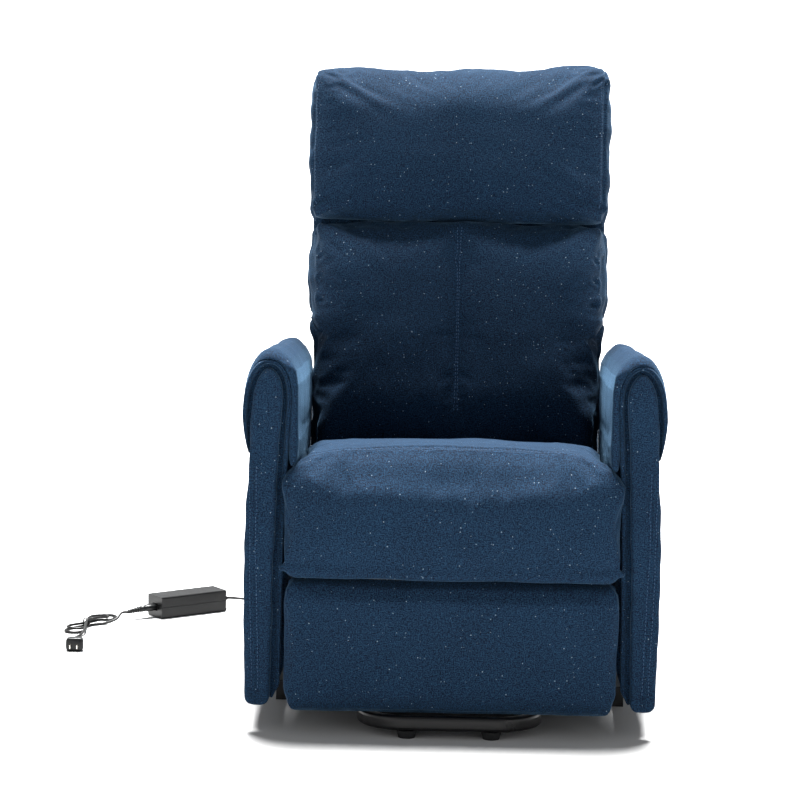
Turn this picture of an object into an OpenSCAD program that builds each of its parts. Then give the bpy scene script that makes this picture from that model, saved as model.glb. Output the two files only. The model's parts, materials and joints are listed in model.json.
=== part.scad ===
// Power lift recliner chair with its mains adapter.
// Millimetres. The origin is on the floor under the middle of the chair,
// the sitter looks along -Y, +Z is up, and the sitter's right is -X.
// The chair is drawn sitting upright: lift, recline and footrest at rest.

/* [Seat and back] */
// Height of the seat cushion's crest
seat_crest = 487; // [480:1:494]
// Lowest edge of the seat's front lip
lip_bottom = 265; // [262:1:270]
// Half width of the seat cushion between the arms
seat_half = 268; // [262:1:270]
// Half width of the seat's front lip
lip_half = 280; // [272:1:283]
// Lean of the backrest from upright, in degrees
lean = 14; // [12:1:16]
// Length of the lower back cushion
back_cushion_len = 423; // [410:1:430]
// Length of the head cushion
head_cushion_len = 286; // [270:1:292]
// Thickness of the back cushions
back_thick = 120; // [100:1:120]
// Half width of the back cushions above the arms
back_half = 272; // [262:1:274]

/* [Arms] */
// Half width over the arm pads
pad_half = 350; // [347:1:352]
// Height of the arm pads' crest at the front
arm_top = 643; // [636:1:650]
// Fall of the arm pads towards the back, in degrees
arm_fall = 6; // [4:0.5:7]
// Height of the arms' lower edge
arm_bottom = 52; // [48:1:58]
// Depth of the side pockets' pouch
pocket_gap = 24; // [23:1:26]

/* [Base] */
// Half length of the base, and of the whole chair
base_half = 455; // [450:1:460]
// Half width over the base rails
rail_half = 298; // [290:1:300]
// Side of the square steel tube
tube = 25; // [22:1:26]
// Half width over the front bow
bow_half = 155; // [150:1:158]
// Height of the front bow's flattened tube
bow_d = 24; // [20:1:24]

/* [Motion] */
// Radius of the main pivot pins
pin_r = 8; // [6:0.5:8]
// Radius of the motors' pins
motor_pin_r = 5; // [4:0.5:5]
// Radial clearance of a running pivot
run = 0.06; // [0.03:0.01:0.09]

/* [Power lead] */
// Diameter of both leads
lead_d = 5; // [4.5:0.1:5.5]
// Length of the mains adapter
adapter_len = 145; // [138:1:150]

/* [Hidden] */
$fn = 48;

NAVY = "#1f3a5c";
BLACK = "#1b1c1e";
STEEL = "#2a2c30";
ZINC = "#9a9da1";
WOOD = "#b08a5a";

// Pivot points in the side view, as [y, z].
LIFT_A = [-194, 80];      // long lift arm on the base
LIFT_C = [259, 131];      // long lift arm on the seat frame
LIFT_B = [-239, 80];      // short lift link on the base
LIFT_D = [152, 129];      // short lift link on the seat frame, the open pivot
MOTOR_Q = [-320, 100];    // lift motor on the base
MOTOR_P = [-80, 300];     // lift motor's rod on the seat frame
BACK_R = [215, 345];      // backrest hinge
RECLINE_Q = [-100, 270];  // recline motor on the seat frame
RECLINE_K = [239, 290];   // recline motor's rod on the backrest lever
FOOT_0 = [-257, 241];     // footrest rear link on the seat frame
FOOT_1 = [-136, 112];     // footrest rear link to front link
FOOT_2 = [-392, 164];     // footrest front link to the board
GUIDE_0 = [-233, 256];    // footrest guide link on the seat frame
GUIDE_1 = [-112, 137];    // footrest guide link to front link, an open pivot

// Heights and places on the base.
rail_z0 = 6;
rail_z1 = rail_z0 + tube;
cross_front = -185;
cross_motor = -342;
rear_cross = 420;
bow_z = 25;
bow_deep = 20;

// Planes of the flat bars, as the distance of their inner face from the middle.
bar = 6;
arm_plane = 238;
link_plane = 224;
plate_plane = 252;
plate = 4;
foot_rear_plane = 206;
foot_front_plane = 200;
foot_guide_plane = 194;
lift_motor_x = -45;
recline_motor_x = 70;
ear_gap = 13;

// Backrest frame, in its own upright space with the hinge at the origin.
back_front = -145;
back_low = 16;
arm_gap_half = 249;
narrow_len = 262;
split_gap = 2;

// Handset in the sitter's right pocket.
handset = [20, 46, 165];
handset_at = [-346, -90, 160];
button_rise = 1.2;

// ---------- shared shapes ----------

function bez(a, b, c, t) = (1 - t) * (1 - t) * a + 2 * t * (1 - t) * b + t * t * c;
function unit(v) = v / norm(v);

// A polygon's points with each corner replaced by a curve of reach r (a number or one per corner).
function rounded(p, r, n = 6) = [
  for (i = [0 : len(p) - 1])
    let (v = p[i],
         a = p[(i + len(p) - 1) % len(p)],
         b = p[(i + 1) % len(p)],
         ri = is_list(r) ? r[i] : r,
         da = min(ri, norm(a - v) * 0.49),
         db = min(ri, norm(b - v) * 0.49))
      each (ri <= 0 ? [v]
        : [for (k = [0 : n]) bez(v + unit(a - v) * da, v, v + unit(b - v) * db, k / n)])
];

module along_x(x0, x1) {
  translate([x0, 0, 0]) rotate([90, 0, 90]) linear_extrude(x1 - x0) children();
}

module along_y(y0, y1) {
  translate([0, y1, 0]) rotate([90, 0, 0]) linear_extrude(y1 - y0) children();
}

module box(low, high) {
  translate(low) cube(high - low);
}

module both_sides() {
  children();
  mirror([1, 0, 0]) children();
}

module rod_x(x0, x1, at, r) {
  translate([x0, at[0], at[1]]) rotate([0, 90, 0]) cylinder(r = r, h = x1 - x0);
}

// A pin with a head at its inner end.
module headed_pin(x0, x1, at, r) {
  rod_x(x0, x1, at, r);
  rod_x(x0, x0 + 2, at, r + 3);
}

// Outline of a flat bar between two pivots, holes included.
module bar_outline(p, q, w, hole_p, hole_q) {
  difference() {
    union() {
      translate(p) circle(w * 0.62);
      translate(q) circle(w * 0.62);
      translate(p) rotate(atan2(q[1] - p[1], q[0] - p[0]))
        translate([0, -w / 2]) square([norm(q - p), w]);
    }
    translate(p) circle(hole_p);
    translate(q) circle(hole_q);
  }
}

// Sweeps a round section along a list of points.
function path_dir(p, i) =
  unit(p[min(i + 1, len(p) - 1)] - p[max(i - 1, 0)]);
function ring(p, i, r, sides) =
  let (t = path_dir(p, i), s = unit(cross(t, [0, 0, 1])), u = cross(s, t))
    [for (k = [0 : sides - 1]) p[i] + r * (cos(360 * k / sides) * s + sin(360 * k / sides) * u)];
module sweep(p, r, sides = 8) {
  rows = len(p);
  points = [for (i = [0 : rows - 1]) each ring(p, i, r, sides)];
  skin = [for (i = [0 : rows - 2], k = [0 : sides - 1])
    [i * sides + k, i * sides + (k + 1) % sides, (i + 1) * sides + (k + 1) % sides, (i + 1) * sides + k]];
  ends = [[for (k = [sides - 1 : -1 : 0]) k], [for (k = [0 : sides - 1]) (rows - 1) * sides + k]];
  polyhedron(points, concat(skin, ends), convexity = 6);
}

// A smooth curve through points chosen by hand, n steps to a stretch.
function smooth_point(a, b, c, d, t) =
  0.5 * (2 * b + (c - a) * t + (2 * a - 5 * b + 4 * c - d) * t * t
    + (3 * b - a - 3 * c + d) * t * t * t);
function smooth(p, n) = [
  for (i = [0 : len(p) - 2], k = [0 : n - 1])
    smooth_point(p[max(i - 1, 0)], p[i], p[i + 1], p[min(i + 2, len(p) - 1)], k / n),
  p[len(p) - 1]
];

// ---------- base ----------

module base_side_rails() {
  color(STEEL) both_sides()
    box([rail_half - tube, cross_front + tube, rail_z0], [rail_half, base_half - 4, rail_z1]);
}

module base_cross_tubes() {
  inner = rail_half - tube;
  bow_inner = bow_half - bow_deep;
  color(STEEL) {
    box([-rail_half, cross_front, rail_z0], [rail_half, cross_front + tube, rail_z1]);
    box([-inner, rear_cross, rail_z0], [inner, rear_cross + tube, rail_z1]);
    box([-bow_inner, cross_motor, bow_z - 12], [bow_inner, cross_motor + 24, bow_z + 12]);
  }
}

// Rubber boots that close the rails' ends and stand on the floor.
module rail_boot(end, inward, wall) {
  along_x(rail_half - tube - 2, rail_half + 2)
    polygon([[end, 0], [end + 70 * inward, 0], [end + 70 * inward, rail_z0],
             [end + wall * inward, rail_z0], [end + wall * inward, rail_z1 + 2], [end, rail_z1 + 2]]);
}

module rail_boots() {
  color(BLACK) both_sides() {
    rail_boot(cross_front - 9, 1, 9);
    rail_boot(base_half, -1, 4);
  }
}

// Front bow: a flattened tube bent back at both ends.
module bow_section() {
  polygon(rounded([[-bow_deep / 2, -bow_d / 2], [bow_deep / 2, -bow_d / 2],
                   [bow_deep / 2, bow_d / 2], [-bow_deep / 2, bow_d / 2]], 6, 3));
}

module front_bow() {
  bend = 70;
  x = bow_half - bow_deep / 2;
  y = -base_half + 2 + bow_deep / 2;
  color(BLACK) translate([0, 0, bow_z]) {
    translate([-x + bend, y, 0]) rotate([90, 0, 90]) linear_extrude(2 * (x - bend)) bow_section();
    both_sides() {
      translate([x - bend, y + bend, 0]) rotate([0, 0, -90])
        rotate_extrude(angle = 90) translate([bend, 0]) bow_section();
      translate([x, cross_front, 0]) rotate([90, 0, 0])
        linear_extrude(cross_front - y - bend) bow_section();
    }
  }
}

module front_feet() {
  color(BLACK) for (x = [-70, 70])
    translate([x, -base_half + 17, 0]) cylinder(r1 = 14, r2 = 17, h = bow_z - bow_d / 2);
}

module lift_brackets() {
  color(STEEL) both_sides() {
    along_x(arm_plane + bar + 2, arm_plane + bar + 6) difference() {
      union() {
        polygon([[cross_front, rail_z1], [cross_front + tube + 12, rail_z1],
                 [LIFT_A[0] + 16, LIFT_A[1]], [LIFT_A[0] - 16, LIFT_A[1]]]);
        translate(LIFT_A) circle(16);
      }
      translate(LIFT_A) circle(pin_r + 0.05);
    }
    along_x(link_plane + bar + 2, link_plane + bar + 6) difference() {
      union() {
        polygon([[cross_front, rail_z0 + 2], [cross_front, rail_z1],
                 [cross_front + tube - 2, rail_z1], [LIFT_B[0] + 14, LIFT_B[1]],
                 [LIFT_B[0] - 14, LIFT_B[1]]]);
        translate(LIFT_B) circle(14);
      }
      translate(LIFT_B) circle(pin_r - 2 + 0.05);
    }
  }
}

module base_pins() {
  color(ZINC) both_sides() {
    headed_pin(arm_plane - 3, arm_plane + bar + 7, LIFT_A, pin_r);
    headed_pin(link_plane - 3, link_plane + bar + 7, LIFT_B, pin_r - 2);
  }
}

// Ears and pin that hold a motor's eye or a rod's eye.
module motor_ears(x, at, outline) {
  for (side = [-1, 1])
    along_x(x + side * (ear_gap + 2) - 2, x + side * (ear_gap + 2) + 2) difference() {
      union() {
        polygon(outline);
        translate(at) circle(13);
      }
      translate(at) circle(motor_pin_r + 0.05);
    }
}

module motor_pin(x, at) {
  rod_x(x - ear_gap - 5, x + ear_gap + 5, at, motor_pin_r);
}

module motor_bracket() {
  y = cross_motor + 12;
  color(STEEL) {
    motor_ears(lift_motor_x, MOTOR_Q,
      [[y - 12, bow_z + 12], [y + 12, bow_z + 12], [MOTOR_Q[0] + 13, MOTOR_Q[1]],
       [MOTOR_Q[0] - 13, MOTOR_Q[1]]]);
    motor_pin(lift_motor_x, MOTOR_Q);
  }
}

module control_box() {
  color(BLACK) difference() {
    along_y(rear_cross - 30, base_half - 5)
      polygon(rounded([[-62, rail_z1], [62, rail_z1], [62, 76], [-62, 76]], 6, 3));
    // Socket for the low-voltage plug.
    translate([30, base_half - 17, 56]) rotate([-90, 0, 0]) cylinder(r = 5.5, h = 20);
  }
}

// ---------- leads and adapter ----------

adapter_angle = 36;
adapter_mid = [-510, 500, 0];
adapter_w = 52;
adapter_h = 42;
relief_len = 20;
socket_at = [30, base_half - 5, 56];
along = [cos(adapter_angle), sin(adapter_angle), 0];

// Right end of the adapter's relief and left end of its connector.
dc_end = adapter_mid + (adapter_len / 2 + relief_len) * along + [0, 0, 20];
ac_start = adapter_mid - (adapter_len / 2 + 62) * along + [0, 0, 16];

// Low-voltage lead: from the plug in the control box to the adapter.
DC_ROUTE = concat(
  [[30, 478, 56], [30, 492, 53], [28, 512, 38], [20, 536, 16], [4, 566, 3], [-22, 596, 3],
   [-66, 618, 3], [-118, 614, 3], [-158, 584, 3], [-194, 556, 3], [-238, 548, 3],
   [-276, 572, 3], [-300, 612, 3], [-330, 640, 3], [-370, 632, 4], [-402, 600, 9]],
  [dc_end + 14 * along + [0, 0, -2], dc_end]);

// Mains lead from the connector to the tied hank, and from the hank to the plug.
AC_ROUTE = concat([ac_start, ac_start - 12 * along + [0, 0, -2]],
  [[-644, 425, 6], [-655, 428, 4]]);
AC_TAIL_ROUTE = [[-706, 292, 6], [-704, 272, 3], [-698, 250, 3], [-692, 226, 5], [-690, 206, 11],
                 [-688, 190, 14]];
hank_mid = [-685, 366, 0];
hank_len = 170;
hank_w = 40;
hank_h = 13;
hank_angle = 69;
plug_at = [-688, 143, 0];

module place_adapter() {
  translate(adapter_mid) rotate([0, 0, adapter_angle]) children();
}

module dc_plug() {
  color(BLACK) translate(socket_at) rotate([-90, 0, 0]) {
    translate([0, 0, -10]) cylinder(r = 5.4, h = 10);
    cylinder(r = 7, h = 12);
    translate([0, 0, 12]) cylinder(r1 = 5, r2 = 3.6, h = 16);
  }
}

module dc_lead() {
  color(BLACK) sweep(smooth(DC_ROUTE, 4), lead_d / 2);
}

module adapter_case() {
  color(BLACK) place_adapter() difference() {
    translate([-adapter_len / 2, 0, 0]) along_x(0, adapter_len)
      polygon(rounded([[-adapter_w / 2, 0], [adapter_w / 2, 0], [adapter_w / 2, adapter_h],
                       [-adapter_w / 2, adapter_h]], 3, 3));
    // Two-pole mains inlet.
    box([-adapter_len / 2 - 1, -9, 13], [-adapter_len / 2 + 12, 9, 27]);
  }
}

module adapter_relief() {
  color(BLACK) place_adapter() translate([adapter_len / 2, 0, 20]) rotate([0, 90, 0])
    cylinder(r1 = 5.5, r2 = 3.6, h = relief_len);
}

module ac_connector() {
  color(BLACK) place_adapter() translate([-adapter_len / 2, 0, 20]) rotate([0, -90, 0]) {
    translate([-6.5, -8.5, -10]) cube([13, 17, 10]);
    translate([-8, -10.5, 0]) cube([16, 21, 30]);
    // The relief droops towards the floor with the lead.
    translate([-4, 0, 30]) cylinder(r1 = 7, r2 = 3.8, h = 32);
  }
}

module ac_lead() {
  color(BLACK) sweep(smooth(AC_ROUTE, 4), lead_d / 2);
}

module ac_tail() {
  color(BLACK) sweep(smooth(AC_TAIL_ROUTE, 3), lead_d / 2);
}

// Outer shape of the tied hank, with a waist for its tie.
module ac_hank() {
  end = (hank_len - hank_w) / 2;
  color(BLACK) difference() {
    translate(hank_mid) rotate([0, 0, hank_angle]) linear_extrude(hank_h) {
      translate([-end, -hank_w / 2]) square([2 * end, hank_w]);
      for (side = [-1, 1]) translate([side * end, 0]) circle(hank_w / 2);
    }
    translate(hank_mid) rotate([0, 0, hank_angle]) box([-16, -hank_w, -1], [-9, hank_w, hank_h + 1]);
  }
}

module cord_tie() {
  color("#111213") translate(hank_mid) rotate([0, 0, hank_angle])
    box([-15.8, -9, 0], [-9.2, 9, hank_h + 2]);
}

module plug_body() {
  color(BLACK) translate(plug_at) {
    along_y(0, 22) polygon(rounded([[-16, 0], [16, 0], [16, 25], [-16, 25]], 6, 4));
    translate([2, 22, 14]) rotate([-90, 0, 0]) cylinder(r1 = 8, r2 = 4, h = 25);
  }
}

module plug_blades() {
  color(ZINC) translate(plug_at) for (x = [-6.35, 6.35])
    box([x - 0.8, -17, 9], [x + 0.8, 0, 15.4]);
}

// ---------- lift linkage ----------

module lift_arms() {
  color(STEEL) both_sides() along_x(arm_plane, arm_plane + bar)
    bar_outline(LIFT_A, LIFT_C, 32, pin_r + run, pin_r + run);
}

module lift_torque_tube() {
  color(STEEL) rod_x(-arm_plane, arm_plane, [212, 125.7], 12.5);
}

module lift_links() {
  open = 1.9;
  color(STEEL) both_sides() along_x(link_plane, link_plane + bar)
    bar_outline(LIFT_B, LIFT_D, 26, pin_r - 2 + run, pin_r - 2 + open);
}

// A linear actuator along local +Y from its eye at the origin.
module motor_unit(tube_r, bore_r, tube_end, can_r) {
  difference() {
    union() {
      rod_x(-ear_gap + 4, ear_gap - 4, [0, 0], 11);
      box([-ear_gap + 4, 0, -9], [ear_gap - 4, 24, 9]);
      along_y(20, 72) polygon(rounded([[-21, -20], [21, -20], [21, 20], [-21, 20]], 5, 3));
      translate([21, 46, 0]) along_y(-14, 22) square([16, 24], center = true);
      translate([44, 30, 0]) rotate([-90, 0, 0]) cylinder(r = can_r, h = 112);
      translate([0, 72, 0]) rotate([-90, 0, 0]) cylinder(r = tube_r, h = tube_end - 72);
    }
    rod_x(-ear_gap, ear_gap, [0, 0], motor_pin_r + run);
    translate([0, 80, 0]) rotate([-90, 0, 0]) cylinder(r = bore_r, h = tube_end);
  }
}

// The rod runs from `start` to its eye at `reach`.
module rod_unit(rod_r, start, reach, eye_r, hole_r) {
  difference() {
    union() {
      translate([0, start, 0]) rotate([-90, 0, 0]) cylinder(r = rod_r, h = reach - start);
      rod_x(-ear_gap + 4, ear_gap - 4, [reach, 0], eye_r);
    }
    rod_x(-ear_gap, ear_gap, [reach, 0], hole_r);
  }
}

function span(p, q) = norm(q - p);
function slope(p, q) = atan2(q[1] - p[1], q[0] - p[0]);

module place_motor(x, p, q) {
  translate([x, p[0], p[1]]) rotate([slope(p, q), 0, 0]) children();
}

module lift_motor() {
  color(BLACK) place_motor(lift_motor_x, MOTOR_Q, MOTOR_P)
    motor_unit(16, 10 + run, 285, 21);
}

module lift_rod() {
  color(ZINC) place_motor(lift_motor_x, MOTOR_Q, MOTOR_P)
    rod_unit(10, 160, span(MOTOR_Q, MOTOR_P), 11.5, motor_pin_r + 2.3);
}

// ---------- seat frame ----------

module side_plates() {
  outline = [[-398, 374], [-398, 346], [-292, 214], [-212, 226], [-60, 300], [110, 290],
             [226, 116], [284, 106], [302, 262], [240, 374], [188, 374], [150, 347],
             [-60, 347], [-360, 374]];
  color(STEEL) both_sides() {
    along_x(plate_plane, plate_plane + plate) difference() {
      polygon(rounded(outline, 14, 3));
      translate(LIFT_C) circle(pin_r + 0.05);
      translate(BACK_R) circle(pin_r + run);
    }
    // Bosses that carry the footrest links' pivots inboard of the plate.
    for (at = [FOOT_0, GUIDE_0])
      rod_x(foot_rear_plane + plate + 2, plate_plane, at, 9);
  }
}

module seat_cross_tubes() {
  w = plate_plane;
  color(STEEL) {
    box([-w, -395, 348], [w, -370, 373]);
    box([-w, MOTOR_P[0] - 12, 315], [w, MOTOR_P[0] + 13, 340]);
    box([-w, LIFT_D[0] - 12, 310], [w, LIFT_D[0] + 12, 334]);
    box([-w, 273, 238], [w, 297, 262]);
  }
}

module seat_brackets() {
  hang = 16;
  color(STEEL) {
    // Hangers for the short links' open pivots.
    both_sides() along_x(link_plane - 10, link_plane - 6) difference() {
      union() {
        polygon([[LIFT_D[0] - 12, 310], [LIFT_D[0] + 12, 310], [LIFT_D[0] + hang, LIFT_D[1]],
                 [LIFT_D[0] - hang, LIFT_D[1]]]);
        translate(LIFT_D) circle(hang);
      }
      translate(LIFT_D) circle(pin_r - 2 + 0.05);
    }
    motor_ears(lift_motor_x, MOTOR_P,
      [[MOTOR_P[0] - 12, 315], [MOTOR_P[0] + 13, 315], [MOTOR_P[0] + 13, MOTOR_P[1]],
       [MOTOR_P[0] - 13, MOTOR_P[1]]]);
    motor_ears(recline_motor_x, RECLINE_Q,
      [[MOTOR_P[0] - 12, 315], [MOTOR_P[0], 315], [RECLINE_Q[0] + 11, RECLINE_Q[1] + 8],
       [RECLINE_Q[0] - 13, RECLINE_Q[1]]]);
  }
}

module seat_pins() {
  color(ZINC) {
    both_sides() {
      headed_pin(arm_plane - 3, plate_plane + plate + 2, LIFT_C, pin_r);
      rod_x(link_plane - 11, link_plane + bar + 3, LIFT_D, pin_r - 2);
      rod_x(foot_rear_plane - 1.5, foot_rear_plane + plate + 2, FOOT_0, motor_pin_r);
      rod_x(foot_guide_plane - 1, foot_rear_plane + plate + 2, GUIDE_0, motor_pin_r);
    }
    motor_pin(lift_motor_x, MOTOR_P);
    motor_pin(recline_motor_x, RECLINE_Q);
  }
}

// Zigzag springs from the front rail to the rear cross tube.
module seat_springs() {
  waves = 9;
  steps = 4 * waves;
  y0 = -369.6;
  y1 = LIFT_D[0] + 4;
  color(ZINC) for (x = [-184, -92, 0, 92, 184])
    sweep([for (i = [0 : steps]) let (t = i / steps)
      [x + 22 * sin(360 * waves * t), y0 + (y1 - y0) * t, 359 - 23 * t]], 1.6, 6);
}

// Side profile of the seat cushion: crowned front lip and a top that falls to the back.
function seat_profile() = [
  [-420, lip_bottom], [-407, lip_bottom + 3], [-407, 378], [-350, 380], [150, 351],
  [150, 361], [80, 368], [70, 410], [44, 428], [-40, 441], [-300, seat_crest - 12],
  [-385, seat_crest], [-436, seat_crest - 16], [-base_half, seat_crest - 62],
  [-base_half, lip_bottom + 26], [-444, lip_bottom]
];

module seat_cushion() {
  front = [[-lip_half + 6, lip_bottom - 2], [lip_half - 6, lip_bottom - 2],
           [lip_half, lip_bottom + 30], [lip_half, 436], [lip_half - 26, seat_crest - 16],
           [120, seat_crest + 1], [-120, seat_crest + 1], [-lip_half + 26, seat_crest - 16],
           [-lip_half, 436], [-lip_half, lip_bottom + 30]];
  color(NAVY) difference() {
    intersection() {
      along_x(-lip_half, lip_half)
        polygon(rounded(seat_profile(), [8, 3, 3, 8, 4, 4, 8, 18, 18, 50, 60, 30, 26, 30, 16, 8], 4));
      along_y(-base_half - 1, 160) polygon(rounded(front, 12, 4));
    }
    both_sides() {
      box([seat_half, -405, 200], [lip_half + 1, 200, 520]);
      // Room under the arm pads' inner flaps.
      translate([0, -405, 474]) rotate([-arm_fall - 1, 0, 0])
        box([arm_gap_half, 0, 0], [lip_half + 1, 620, 90]);
    }
  }
}

module arm_brackets() {
  color(STEEL) both_sides() for (y = [-330, 90])
    box([plate_plane + plate, y, 306], [272, y + 34, 342]);
}

// ---------- arms ----------

arm_back = 330;
core_front = -405;

// Front outline of the arm's core, sitter's left: inner lining with a swept lower corner.
function core_front_outline() = [
  [300, arm_bottom], [336, arm_bottom], [334, 300], [333, 590], [325, 600], [285, 600],
  [276, 590], [272.4, 440], [272.4, 130], [277, 100], [284, 80]
];
function core_side_outline() = [
  [core_front, arm_bottom], [arm_back, arm_bottom + 12],
  [arm_back, 592 + (core_front - arm_back) * tan(arm_fall) - 14], [core_front, 592]
];

module arm_core() {
  intersection() {
    along_y(core_front - 1, arm_back + 1) polygon(rounded(core_front_outline(), 10, 3));
    along_x(260, 345) polygon(rounded(core_side_outline(), [16, 30, 24, 14], 4));
  }
}

function facing_outline() = [
  [300, arm_bottom], [340, arm_bottom], [344, 230], [337, 473], [329, 590], [305, 622],
  [283, 590], [295, 370]
];

module facing() {
  along_y(-430, core_front - 0.5)
    polygon(rounded(facing_outline(), [14, 14, 60, 60, 34, 20, 34, 60], 5));
}

// Saddle-shaped pad over the arm, its section square to the front.
module arm_pad() {
  front = -428;
  top = arm_top;
  outline = [
    [335.6, 472], [340, 466], [pad_half, 545], [341, top - 34], [318, top - 2], [290, top],
    [262, top - 24], [252, 570], [254, 500], [262, 484], [270.5, 488], [270.5, 578], [276, 600],
    [288, 608], [322, 608], [335.6, 594]
  ];
  length = (arm_back - 20 - front) / cos(arm_fall);
  translate([0, front, top]) rotate([-arm_fall, 0, 0]) translate([0, -front, -top])
    along_y(front, front + length)
      polygon(rounded(outline, [1, 6, 50, 26, 26, 26, 30, 40, 8, 4, 6, 10, 10, 6, 6, 10], 4));
}

// The facing stands in front of the core, so the pad is notched to sit over it.
module notched_pad() {
  difference() {
    arm_pad();
    along_y(-470, core_front - 0.3) polygon([[270, 440], [345.5, 440], [345.5, 560], [337, 612],
      [320, 630], [290, 630], [276, 612], [270, 560]]);
  }
}

pocket_y = [-200, 40];
pocket_z = [155.5, 300];
pocket_x = 336.6;
skin = 3;

// Cloth pouch on the arm's outer side, open at the top.
module side_pocket() {
  out = pocket_x + pocket_gap + skin;
  difference() {
    along_y(pocket_y[0], pocket_y[1])
      polygon([[pocket_x, pocket_z[0]], [out - 4, pocket_z[0]], [out, pocket_z[0] + 8],
               [out, pocket_z[1]], [pocket_x, pocket_z[1]]]);
    box([pocket_x - 1, pocket_y[0] + 4, pocket_z[0] + 4],
        [pocket_x + pocket_gap, pocket_y[1] - 4, pocket_z[1] + 5]);
  }
}

module sitters_right() {
  color(NAVY) mirror([1, 0, 0]) children();
}
module sitters_left() {
  color(NAVY) children();
}
module arm_core_right() { sitters_right() arm_core(); }
module arm_core_left() { sitters_left() arm_core(); }
module facing_right() { sitters_right() facing(); }
module facing_left() { sitters_left() facing(); }
module arm_pad_right() { sitters_right() notched_pad(); }
module arm_pad_left() { sitters_left() notched_pad(); }
module side_pocket_right() { sitters_right() side_pocket(); }
module side_pocket_left() { sitters_left() side_pocket(); }

module rear_apron() {
  color(NAVY) along_y(arm_back - 8, arm_back)
    polygon(rounded([[-270, 92], [270, 92], [270, 345], [-270, 345]], 10, 3));
}

// ---------- backrest ----------

back_rear = back_front + back_thick;
frame_thick = 23;
cover_thick = 28;
cover_low = 27;
cover_narrow = 246;
cover_wide = 268;
top_len = back_low + back_cushion_len + split_gap + head_cushion_len;

module place_back() {
  translate([0, BACK_R[0], BACK_R[1]]) rotate([-lean, 0, 0]) children();
}

// Torque tube on the hinge line, with stub axles and the motor's lever.
module back_torque_tube() {
  color(STEEL) {
    rod_x(-245, 245, BACK_R, 12);
    rod_x(-260, 260, BACK_R, pin_r);
    motor_ears(recline_motor_x, RECLINE_K,
      [[BACK_R[0] + 8, BACK_R[1] - 6], [BACK_R[0] + 14, BACK_R[1]],
       [RECLINE_K[0] + 13, RECLINE_K[1]], [RECLINE_K[0] - 13, RECLINE_K[1]],
       [BACK_R[0] - 8, BACK_R[1] - 6]]);
    motor_pin(recline_motor_x, RECLINE_K);
  }
}

module back_brackets() {
  color(STEEL) both_sides() place_back() along_x(240.5, 244.5) difference() {
    polygon(rounded([[-16, -16], [16, -16], [16, 6], [-1.5, 26], [-1.5, 190], [-24, 190]],
                    [8, 8, 8, 6, 1, 4], 3));
    circle(12.05);
  }
}

// Plywood frame: two stiles and four rails.
module back_frame() {
  y0 = back_rear + 1;
  y1 = y0 + frame_thick;
  color(WOOD) place_back() {
    both_sides() box([216, y0, 20], [240, y1, top_len - 20]);
    for (z = [20, 240, back_low + back_cushion_len - 20, top_len - 60])
      box([-215.8, y0, z], [215.8, y1, z + 40]);
  }
}

module back_webbing() {
  y = back_rear + 0.3;
  color("#3a3d42") place_back() for (z = [100, 150, 320, 360, 520, 580])
    box([-238, y - 0.1, z], [238, y + 0.6, z + 36]);
}

module back_cushion() {
  z1 = back_low + back_cushion_len;
  color(NAVY) place_back() union() {
    along_x(-arm_gap_half, arm_gap_half)
      polygon(rounded([[back_rear, back_low + 8], [back_rear, z1 - 10], [back_front + 16, z1],
                       [back_front, z1 - 60], [back_front, back_low + 50],
                       [back_front + 34, back_low]], [6, 10, 26, 30, 40, 20], 4));
    along_x(-back_half, back_half)
      polygon(rounded([[back_rear, narrow_len + 22], [back_rear, z1 - 10], [back_front + 16, z1],
                       [back_front, z1 - 60], [back_front, narrow_len - 24],
                       [back_front + 16, narrow_len - 42]], [6, 10, 26, 30, 16, 10], 4));
  }
}

module head_cushion() {
  z0 = back_low + back_cushion_len + split_gap;
  z1 = z0 + head_cushion_len;
  color(NAVY) place_back() along_x(-back_half - 3, back_half + 3)
    polygon(rounded([[back_rear, z0 + 10], [back_rear, z1 - 12], [back_front + 30, z1],
                     [back_front, z1 - 56], [back_front, z0 + 46], [back_front + 14, z0]],
                    [6, 14, 40, 34, 34, 14], 4));
}

// Padded rear shell: narrow between the arms, wide above them.
module rear_cover() {
  y0 = back_rear + 1 + frame_thick + 1;
  color(NAVY) place_back() along_y(y0, y0 + cover_thick)
    polygon(rounded([[-cover_narrow, cover_low], [cover_narrow, cover_low],
                     [cover_narrow, narrow_len + 24], [cover_wide, narrow_len + 24],
                     [cover_wide, top_len - 4], [-cover_wide, top_len - 4],
                     [-cover_wide, narrow_len + 24], [-cover_narrow, narrow_len + 24]],
                    [12, 12, 4, 12, 16, 16, 12, 4], 4));
}

// ---------- footrest ----------

module footrest_rear_links() {
  x = foot_rear_plane;
  color(STEEL) both_sides() {
    along_x(x, x + plate) bar_outline(FOOT_0, FOOT_1, 20, motor_pin_r + run, motor_pin_r + 0.05);
    rod_x(foot_front_plane - 1.4, x + plate + 1.5, FOOT_1, motor_pin_r);
  }
}

module footrest_front_links() {
  x = foot_front_plane;
  color(STEEL) both_sides() {
    along_x(x, x + plate) difference() {
      union() {
        bar_outline(FOOT_1, FOOT_2, 20, motor_pin_r + run, motor_pin_r + run);
        translate(GUIDE_1) circle(11);
        polygon([FOOT_1 + [-12, 8], FOOT_1 + [10, 0], GUIDE_1 + [10, -4], GUIDE_1 + [-11, 0]]);
      }
      translate(FOOT_1) circle(motor_pin_r + run);
      translate(GUIDE_1) circle(motor_pin_r + 0.05);
    }
    rod_x(foot_guide_plane - 1, x + plate + 1, GUIDE_1, motor_pin_r);
  }
  // Spreader bar that keeps the two sides together.
  color(STEEL) rod_x(-x, x, FOOT_2 + 0.1 * (FOOT_1 - FOOT_2), 6);
}

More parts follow.
